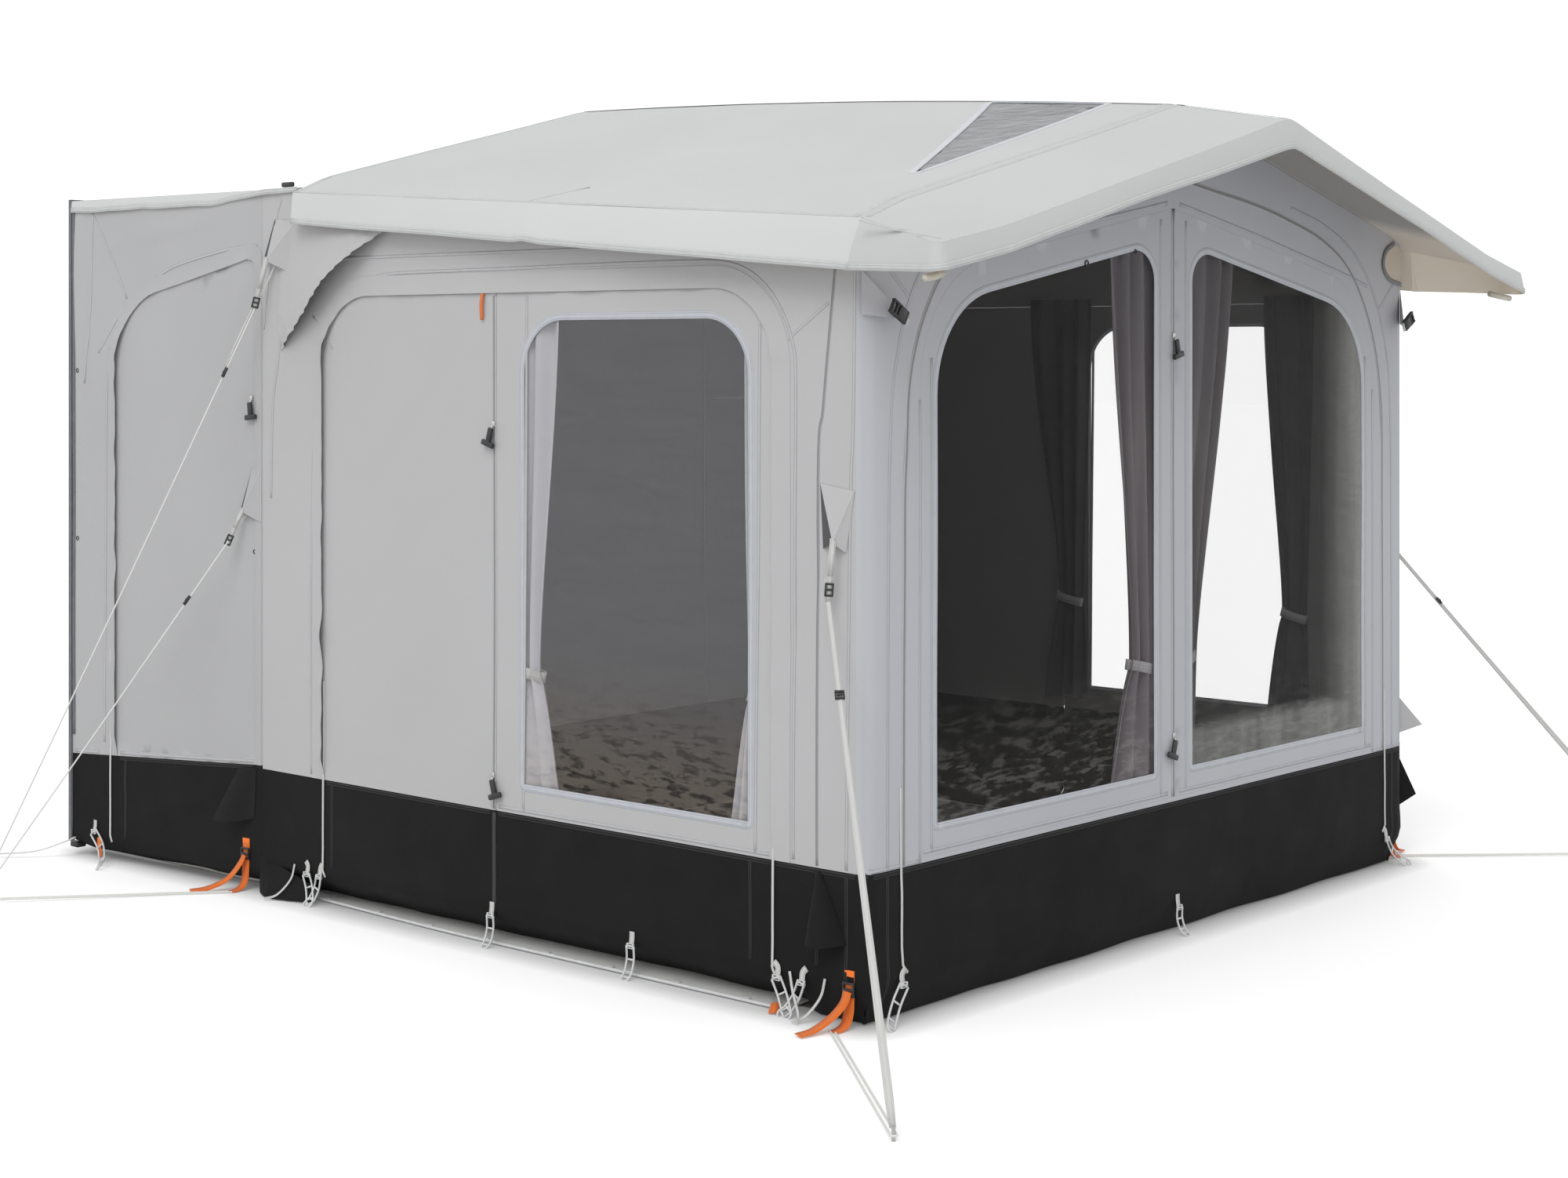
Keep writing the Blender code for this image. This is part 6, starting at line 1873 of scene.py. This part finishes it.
def tab(name, surface, corners, tip, tip_lift, look):
    """Guy point: cloth triangles that stand off the wall and meet at the webbing, the rear one painted dark
    as shade.
    """
    top_rear, top_front, low_front, low_rear = (surface(*corner, 0.002) for corner in corners)
    t = surface(*tip, tip_lift)
    shape = Shape()
    facet(shape, top_rear, low_rear, t, 1)
    facet(shape, top_rear, top_front, t)
    facet(shape, top_front, low_front, t)
    shape.make(name, [look, SHADED], "shell", "wall_cloth")
    return t


def guy_fitting(name, tip, line, share, width, rings, double=0.0):
    """Webbing, and adjusters along it, from a guy point's tip to the line; a doubled cord to its slider."""
    start, end = line[0], line[1]
    run = (end - start).normalized()
    meet = start.lerp(end, share)
    reach = (meet - tip).normalized()
    out = Vector((math.copysign(0.5, tip.x), -0.7, 0.5)).normalized()
    out = (out - reach * out.dot(reach)).normalized()
    shape = Shape()
    band(shape, [tip - reach * 0.012, tip.lerp(meet, 0.5), meet], [out] * 3, width, 0.0022)
    second = [tip - reach * 0.008 + out * 0.003, tip.lerp(meet, 0.55) + out * 0.003]
    band(shape, second, [out] * 2, width, 0.0018)
    for t in rings:
        ladder_lock(shape, tip.lerp(meet, t), reach, out, width + 0.007, 0.032, 0.007, 1)
    if double:
        slider = start.lerp(end, double)
        aside = run.cross(out).normalized() * 0.006
        middle = meet.lerp(slider, 0.5) + aside * 1.3 - UP * 0.003
        shape.tube([meet + aside, middle, slider + aside * 0.5], 0.0023, 6)
    shape.make(name, [WEBBING, PLASTIC], "shell", "pale_cord")


for side, tag in SIDES:
    tip = tab("corner_tab_" + tag, side_wall(side),
              ((0.139, 1.265), (0.034, 1.250), (0.060, 1.105), (0.132, 1.112)), (0.078, 1.128), 0.030, GREY)
    guy_fitting("corner_fitting_" + tag, tip, LINES["front_" + tag], 0.055, 0.014, (0.80,))
tunnel_left = tunnel_wall(-1.0)
tip = tab("upper_tab", side_wall(-1.0), ((2.216, 1.958), (2.122, 1.946), (2.162, 1.806), (2.268, 1.840)),
          (2.222, 1.836), 0.032, GREY)
guy_fitting("upper_fitting", tip, LINES["rear_upper"], 0.075, 0.014, (0.85,), 0.175)
tip = tab("lower_tab", tunnel_left, ((0.045, 1.236), (0.004, 1.228), (0.004, 1.076), (0.098, 1.104)),
          (0.068, 1.106), 0.022, TUNNEL_GREY)
guy_fitting("lower_fitting", tip, LINES["rear_lower"], 0.070, 0.012, (1.0,))


def rubber_ladder(shape, points, outward, width, rungs, look):
    """Pegging ladder of pale rubber: two rails joined by rungs, rounded at its free end."""
    line = curve_through(points, 6)
    count = len(line)
    rails = ([], [])
    crosses = []
    for i, here in enumerate(line):
        tangent = (line[min(i + 1, count - 1)] - line[max(i - 1, 0)]).normalized()
        out = (outward - tangent * outward.dot(tangent)).normalized()
        across = tangent.cross(out)
        crosses.append(across)
        rails[0].append(here + across * width / 2.0)
        rails[1].append(here - across * width / 2.0)
    tangent = (line[-1] - line[-2]).normalized()
    end = [line[-1] + crosses[-1] * (width / 2.0 * math.cos(a)) + tangent * (width / 2.0 * math.sin(a))
           for a in (math.pi * k / 6.0 for k in range(7))]
    shape.tube(rails[0] + end[1:-1] + rails[1][::-1], 0.0029, 6, look)
    for k in range(rungs + 1):
        i = min(round(k * (count - 1) / rungs), count - 1)
        shape.tube([rails[0][i], rails[1][i]], 0.0026, 6, look)


def hem_ladder(name, surface, at, out, along, length=0.070, lean=0.0, tab_lean=0.0, body="shell"):
    """Short pale ladder that hangs from a webbing tab on the hem, with its rounded end on the ground."""
    here = surface(*at, 0.004)
    out, along = Vector(out), Vector(along)
    shape = Shape()
    low = here - UP * 0.022 + out * 0.003
    hanger = curve_through([here + UP * 0.013 + along * tab_lean, here, low], 4)
    band(shape, hanger, [out] * len(hanger), 0.016, 0.0024)
    ladder_lock(shape, low + out * 0.003, UP, out, 0.024, 0.014, 0.006, 2)
    drop = low.z - 0.007
    kick = math.sqrt(max(length ** 2 - drop ** 2, 0.0004))
    points = [
        low + out * 0.004, low + out * (0.15 * kick) - UP * (0.45 * drop) + along * (0.35 * lean),
        low + out * (0.55 * kick) - UP * (0.85 * drop) + along * (0.75 * lean),
        low + out * kick - UP * drop + along * lean,
    ]
    rubber_ladder(shape, points, (out + UP * 0.5).normalized(), 0.025, 3, 1)
    shape.make(name, [WEBBING, PALE, PALE], body, "pale_cord")


def tail(shape, points, width, out, look=0):
    line = curve_through(points, 6)
    band(shape, line, [Vector(out)] * len(line), width, 0.0016, look)


for side, tag in SIDES:
    wall = side_wall(side)
    out = (side, 0.0, 0.0)
    for k, (d, body) in enumerate(((1.281, "door_"), (0.760, "window_leaf_"))):
        hem_ladder(f"side_ladder_{k}_{tag}", wall, (d, 0.104), out, REARWARD, body=body + tag)
    for k, (d, lean) in enumerate(((0.268, -0.050), (0.190, 0.045), (2.062, -0.035), (2.006, 0.030))):
        hem_ladder(f"corner_ladder_{k}_{tag}", wall, (d, 0.106), out, REARWARD, lean=lean,
                   tab_lean=-0.25 * lean)
    hem_ladder("front_ladder_" + tag, front, (side * 1.180, 0.110), (0.0, -1.0, 0.0), (side, 0.0, 0.0),
               0.086, 0.080, -0.012)
    shape = Shape()
    for d, way, reach in ((0.230, -1.0, 0.075), (0.120, 1.0, 0.050), (2.120, 1.0, 0.060)):
        start = wall(d, 0.104, 0.005)
        steps = ((0.006, 0.2, -0.045), (0.030, 0.7, -0.088), (0.062, 1.0, -0.097))
        places = [start] + [start + Vector((side * x, t * way * reach, z)) for x, t, z in steps]
        tail(shape, places, 0.007, (side, 0.0, 0.4))
    start = Vector((side * 1.290, back(0.285), 0.018))
    steps = ((0.020, -0.010, -0.004), (0.042, -0.024, -0.013))
    places = [start] + [start + Vector((side * x, y, z)) for x, y, z in steps]
    tail(shape, places, 0.024, (0.3 * side, 0.0, 1.0), 1)
    shape.make("hem_tails_" + tag, [WEBBING, ORANGE], "shell", "pale_cord")
    shape = Shape()
    start = wall(1.318, 1.736, 0.004)
    tail(shape, [start, wall(1.319, 1.700, 0.010), wall(1.321, 1.659, 0.006)], 0.011, (side, 0.0, 0.0))
    shape.make("orange_pull_" + tag, [ORANGE], "door_" + tag, "orange_webbing")
hem_ladder("front_ladder_middle", front, (0.014, 0.095), (0.0, -1.0, 0.0), (1.0, 0.0, 0.0), 0.070)
hem_ladder("tunnel_ladder", tunnel_left, (0.775, 0.110), (-1.0, 0.07, 0.0), REARWARD, 0.110, -0.140)
shape = Shape()
start = tunnel_left(0.745, 0.075, 0.010)
places = [start, start + Vector((-0.008, -0.012, -0.030)), start + Vector((-0.016, -0.030, -0.058))]
tail(shape, places, 0.018, (-1.0, 0.0, 0.3))
shape.make("tunnel_orange_tip", [ORANGE], "shell", "orange_webbing")


def guide(name, surface, column, top, low, kick):
    """Pale zip tail that hangs free over the mud wall and ends in a small hook."""
    shape = Shape()
    path = [(column, mix(top, low, k / 10.0)) for k in range(11)]
    points = [surface(p, q, 0.0035 + 0.0012 * math.sin(9.0 * q)) for p, q in path]
    outs = [(surface(p, q, 0.01) - surface(p, q, 0.0)).normalized() for p, q in path]
    points += [points[-1] + kick * t - UP * 0.010 * (k + 1) for k, t in enumerate((0.4, 1.0))]
    outs += [outs[-1]] * 2
    band(shape, points, outs, 0.007, 0.0016)
    shape.make(name, [WEBBING], "shell", "pale_cord")


for side, tag in SIDES:
    wall = side_wall(side)
    guide("guide_side_rear_" + tag, wall, 1.996, 0.640, 0.105, Vector((0.0, -0.012, 0.0)))
    guide("guide_side_front_" + tag, wall, 0.286, 0.700, 0.105, Vector((0.0, -0.012, 0.0)))
    guide("guide_front_" + tag, front, side * 1.176, 0.55, 0.133, Vector((-side * 0.018, 0.0, 0.0)))
    guide("guide_tunnel_" + tag, tunnel_wall(side), 0.700, 0.66, 0.085, Vector((0.0, -0.010, 0.0)))


def fin(name, surface, sewn, free, lift, body, peeled=False, look=BLACK):
    """Cloth flap between two lines from top to bottom: open below, or peeled off along its free line."""
    shape = Shape()
    rows, uvs = [], []
    for i in range(9):
        t = i / 8.0
        a = (mix(sewn[0][0], sewn[1][0], t), mix(sewn[0][1], sewn[1][1], t))
        b = (mix(free[0][0], free[1][0], t), mix(free[0][1], free[1][1], t))
        row = []
        for k in range(11):
            u = k / 10.0
            bow = math.sin(0.5 * math.pi * u) ** 1.5 if peeled else math.sin(math.pi * u) ** 0.8
            rise = lift * bow * (0.35 + 0.65 * t if peeled else t ** 0.9)
            q = mix(a[1], b[1], u) - 0.006 * math.sin(math.pi * u) * t
            row.append(surface(mix(a[0], b[0], u), q, 0.003 + rise))
            uvs.append((u * 0.1, t * 0.2))
        rows.append(row)
    shape.grid(rows, uvs, THIN)
    shape.make(name, [look], body, "mud_cloth")


def strip_place(side, d, x, u):
    """Ground strip beside the wall, u from its inner to its outer edge."""
    z = mix(0.0085, 0.0045, u) + 0.0016 * abs(wave(5.0 * d, 3.0 * u, side))
    return Vector((side * (x - 0.125 * (1.0 - u)), back(d), z))


for side, tag in SIDES:
    def corner_wall(d, z, lift=0.0):
        return front(side * front_s(d), z, lift)

    if side < 0.0:
        fin("corner_fin_left", corner_wall, ((0.150, 0.352), (0.162, 0.200)),
            ((0.138, 0.352), (0.058, 0.192)), 0.075, "shell")
    # the tunnel fin takes the lighter fin cloth, painted light
    fin("tunnel_fin_" + tag, tunnel_wall(side), ((0.026, 0.356), (0.034, 0.212)),
        ((0.075, 0.356), (0.135, 0.206)), 0.070, "tunnel_leaf_" + tag, True, LIT_FIN_BLACK)
    shape = Shape()
    outer = [(mix(0.26, 2.24, t), mix(1.293, 1.260, smooth((t - 0.55) / 0.45)))
             for t in np.linspace(0.0, 1.0, 60).tolist()]
    rows = [[strip_place(side, d, x, u) for d, x in outer] for u in np.linspace(0.0, 1.0, 5).tolist()]
    if side < 0.0:
        rows = rows[::-1]
    shape.grid(rows, None, THIN)
    bead = [Vector((side * x, back(d), 0.0065)) for d, x in outer]
    shape.tube(bead, 0.0042, 8, 1)
    for d, x in outer[4::7]:
        shape.box(Vector((side * (x - 0.016), back(d), 0.0080)), (0.012, 0.022, 0.004), None, 0.001, 1)
    shape.make("ground_strip_" + tag, [WEBBING, PALE], "shell", "pale_cord")
for name, look, slot, top, tip, low, reach in (
    ("corner_fin_right", BLACK, "mud_cloth", 0.359, 0.205, 0.159, 0.071),
    ("right_grey_fin", GREY, "wall_cloth", 0.527, 0.420, 0.388, 0.090),
):
    shape = Shape()
    a, c = (corner_wall(0.035, z, 0.003) for z in (top, low))
    b = corner_wall(0.035, tip, 0.003) + Vector((0.66, -0.75, 0.0)) * reach
    facet(shape, a, c, b)
    shape.make(name, [look], "shell", slot)
for side, tag in SIDES:
    rows, uvs = [], []
    for i in range(9):
        t = i / 8.0
        row = []
        for k in range(25):
            u = k / 24.0
            # it swells most near the tunnel, where the spare cloth of the corner lies
            swell = math.sin(math.pi * u) * mix(0.4, 1.3, u) * (1.0 + 0.30 * wave(9.0 * u, 3.0 * t, 90.0))
            x = 1.302 + 0.012 * math.sin(math.pi * u) * t + 0.036 * swell * t ** 1.8
            row.append(Vector((side * x, back(mix(2.040, 2.292, u)), mix(mix(0.050, 0.112, u), 0.0035, t))))
            uvs.append((0.225 * u, 0.12 * t))
        rows.append(row)
    shape = Shape()
    shape.grid(rows if side > 0.0 else rows[::-1], uvs, THIN)
    shape.make("hem_bunch_" + tag, [BLACK], "shell", "mud_cloth")
    # painted shadow: a flat dark triangle on the wall beside the upper tab
    shape = Shape()
    wall = side_wall(side)
    a, b, c = (wall(d, z, 0.007) for d, z in ((2.212, 1.958), (2.268, 1.838), (2.238, 1.842)))
    facet(shape, a, *((b, c) if side < 0.0 else (c, b)))
    shape.make("corner_shadow_" + tag, [SHADED], "shell", "wall_cloth")


# Buckles and flaps under the visor

def raised_front(height):
    return lambda s, z, lift=0.0: front(s, z, lift + height)


for side, tag in SIDES:
    centre = Vector((side * 1.243, back(-0.050), 1.668))
    shape = Shape()
    out = -REARWARD
    slant = Vector((side * 0.86, 0.0, 0.50)).normalized()
    aside = slant.cross(out)
    axes = (slant, aside, out)
    shape.box(centre - slant * 0.012, (0.030, 0.034, 0.012), axes, 0.0035)
    for s in (-1.0, 1.0):
        shape.box(centre + aside * (s * 0.015) + slant * 0.014, (0.034, 0.006, 0.010), axes, 0.0018)
    for t in (-0.030, 0.010, 0.026):
        shape.box(centre + slant * t, (0.007, 0.034, 0.009), axes, 0.0018)
    tip = centre - slant * 0.044
    strap = [tip, tip.lerp(centre, 0.5) + out * 0.002, centre - slant * 0.014]
    band(shape, strap, [out] * 3, 0.026, 0.0020, 1)
    shape.make("visor_buckle_" + tag, [PLASTIC, WEBBING], "shell", "black_plastic")
    shape = Shape()
    a, b = (side_wall(side)(0.012, z, 0.004) for z in (1.765, 1.660))
    c = centre - slant * 0.036
    facet(shape, a, *((b, c) if side > 0.0 else (c, b)))
    shape.make("visor_flap_" + tag, [FRONT_GREY], "shell", "wall_cloth")
    edge = arc_path([(1.236, 1.906), (1.184, 1.880), (1.167, 1.836), (1.205, 1.797), (1.285, 1.780)])
    cheek = [(side * s, z) for s, z in edge + [(1.288, 1.884)]]
    cloth("corner_cheek_" + tag, cheek, raised_front(0.0035), "shell", CHEEK, "roof_cloth", step=0.02)
    trims("corner_edge_" + tag, "shell", EDGE_GREY, "wall_cloth", raised_front(0.0045),
          [(cheek[:len(edge)], 0.014, 0.0016)])
    shape = Shape()
    places = ((1.350, -0.262, 1.750), (1.395, -0.276, 1.742), (1.440, -0.284, 1.737))
    shape.tube([Vector((side * x, back(d), z)) for x, d, z in places], 0.009, 10)
    shape.make("pole_tip_" + tag, [POLE], "shell", "pole")

shape = Shape()
for x, z, radius in ((-0.412, 1.802, 0.0075), (-0.187, 1.839, 0.0045)):
    ring = circle(front(x, z, 0.0035), Vector((1.0, 0.0, 0.0)), UP, radius, 16)
    shape.tube(ring, 0.0018, 6, closed=True)
shape.box(Vector((-1.302, back(2.160), TUNNEL_TOP + 0.011)), (0.012, 0.050, 0.014), None, 0.004)
shape.box(tunnel_left(TUNNEL_SLANT + 0.004, 0.032, 0.016), (0.034, 0.040, 0.018), None, 0.004)
shape.make("small_fittings", [PLASTIC], "shell", "black_plastic")


# Carried-over frame nodes get finished materials

for name, look in (("brow_pole", POLE), ("vehicle_beading", RUBBER), ("peg_front_left", STEEL)):
    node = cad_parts[name]
    for held in node.material_slots:
        held.material = look


# Sheets as they were cut

LEAST_FILL = 0.30


def declare(name):
    """Work out how a sheet was cut, a long ring of cloth counting as a strip about twice its own area;
    nothing is kept.
    """
    width, length, area = FLAT_SIZES[name]
    flat = (round(width, 3), round(length, 3))
    area = round(min(area, flat[0] * flat[1]), 4)
    if area < LEAST_FILL * flat[0] * flat[1]:
        flat = (flat[0], round(area / flat[0] / 0.5, 3))


declare("roof_sheet")
declare("skylight_sheet")
declare("visor_sheet")
declare("visor_skirt")
declare("front_cloth")
declare("front_mud")
declare("tunnel_top_sheet")
declare("gable_cloth")
declare("rear_cloth")
declare("rear_door_cloth")
declare("rear_door_mud")
declare("floor_cloth")
for side, tag in SIDES:
    declare("rear_mud_" + tag)
    declare("eave_skirt_" + tag)
    declare("tunnel_skirt_" + tag)
    for name in ("front_leaf_cloth_", "front_film_"):
        declare(name + tag)
    for name in ("side_cloth_", "side_mud_"):
        declare(name + tag)
    for name in ("door_cloth_", "door_mud_", "window_cloth_", "window_mud_", "window_film_", "gusset_"):
        declare(name + tag)
    for name in ("tunnel_cloth_", "tunnel_mud_"):
        declare(name + tag)
    for name in ("tunnel_door_cloth_", "tunnel_door_mud_"):
        declare(name + tag)


# Stage and lights

FLOOR_GLOW = 0.21
SKY_LIGHT = 0.74
SKY_SEEN = 1.2


def stage_floor():
    """White floor: paper white to the lamps, brighter to the eye, and with a painted contact shadow, darker
    to the eye by the walls.
    """
    found, tree, shader = start_material("floor_paper", Roughness=0.95)
    shader.inputs["Specular IOR Level"].default_value = 0.0
    grain = ranged(tree, noisy(tree, 3.0), 0.0, 1.0)
    paper = blended(tree, grain, (0.80, 0.80, 0.80), (0.815, 0.815, 0.815))
    seen = add(tree, "LightPath").outputs["Is Camera Ray"]
    spots = add(tree, "SeparateXYZ", {0: add(tree, "TexCoord").outputs["Object"]}).outputs
    # painted contact shadow: seen by the camera the floor darkens within 0.15 m of the footprint
    far = maths(tree, "SUBTRACT", maths(tree, "ABSOLUTE", spots[0]), HALF_WIDTH - 0.04)
    beside = maths(tree, "MAXIMUM", far, 0.0)
    ahead = maths(tree, "MAXIMUM", maths(tree, "SUBTRACT", back(0.04), spots[1]), 0.0)
    behind = maths(tree, "MAXIMUM", maths(tree, "SUBTRACT", spots[1], back(DEPTH + TUNNEL_LENGTH)), 0.0)
    apart = maths(tree, "MAXIMUM", ahead, behind)
    squares = maths(tree, "MULTIPLY_ADD", beside, beside, maths(tree, "MULTIPLY", apart, apart))
    shade = ranged(tree, maths(tree, "SQRT", squares), 0.40, 1.0, 0.0, 0.15)
    white = blended(tree, shade, (0.0, 0.0, 0.0), (0.999, 0.999, 0.999))
    tree.links.new(blended(tree, seen, paper, white), shader.inputs["Base Color"])
    strength = maths(tree, "MULTIPLY", maths(tree, "MULTIPLY", seen, shade), FLOOR_GLOW)
    glow = add(tree, "Emission", {"Color": (1.0, 1.0, 1.0, 1.0), "Strength": strength})
    total = add(tree, "AddShader", {0: shader.outputs[0], 1: glow.outputs[0]})
    tree.links.new(total.outputs[0], tree.nodes["Material Output"].inputs["Surface"])
    mesh = bpy.data.meshes.new("stage_floor")
    mesh.from_pydata([(-60, -60, 0), (60, -60, 0), (60, 60, 0), (-60, 60, 0)], [], [(0, 1, 2, 3)])
    mesh.materials.append(found)
    item = bpy.data.objects.new("stage_floor", mesh)
    item.location = (0.0, 0.0, -0.0005)
    bpy.context.scene.collection.objects.link(item)


stage_floor()

world = bpy.data.worlds.new("studio")
bpy.context.scene.world = world
world.use_nodes = True
tree = world.node_tree
tree.nodes.clear()
light = add(tree, "LightPath")
seen = maths(tree, "MAXIMUM", light.outputs["Is Camera Ray"], light.outputs["Is Glossy Ray"])
seen = maths(tree, "MAXIMUM", seen, light.outputs["Is Transmission Ray"])
strength = maths(tree, "MULTIPLY_ADD", seen, SKY_SEEN - SKY_LIGHT, SKY_LIGHT)
sky = add(tree, "Background", {"Color": (1.0, 1.0, 1.0, 1.0), "Strength": strength})
add(tree, "OutputWorld", {"Surface": sky.outputs[0]})

sun = bpy.data.objects.new("key", bpy.data.lights.new("key", "SUN"))
sun.data.energy = 1.15
sun.data.angle = math.radians(35.0)
sun.rotation_euler = Vector((-0.62, -0.27, 0.75)).to_track_quat("Z", "Y").to_euler()
bpy.context.scene.collection.objects.link(sun)

bpy.context.scene.view_settings.view_transform = "Standard"
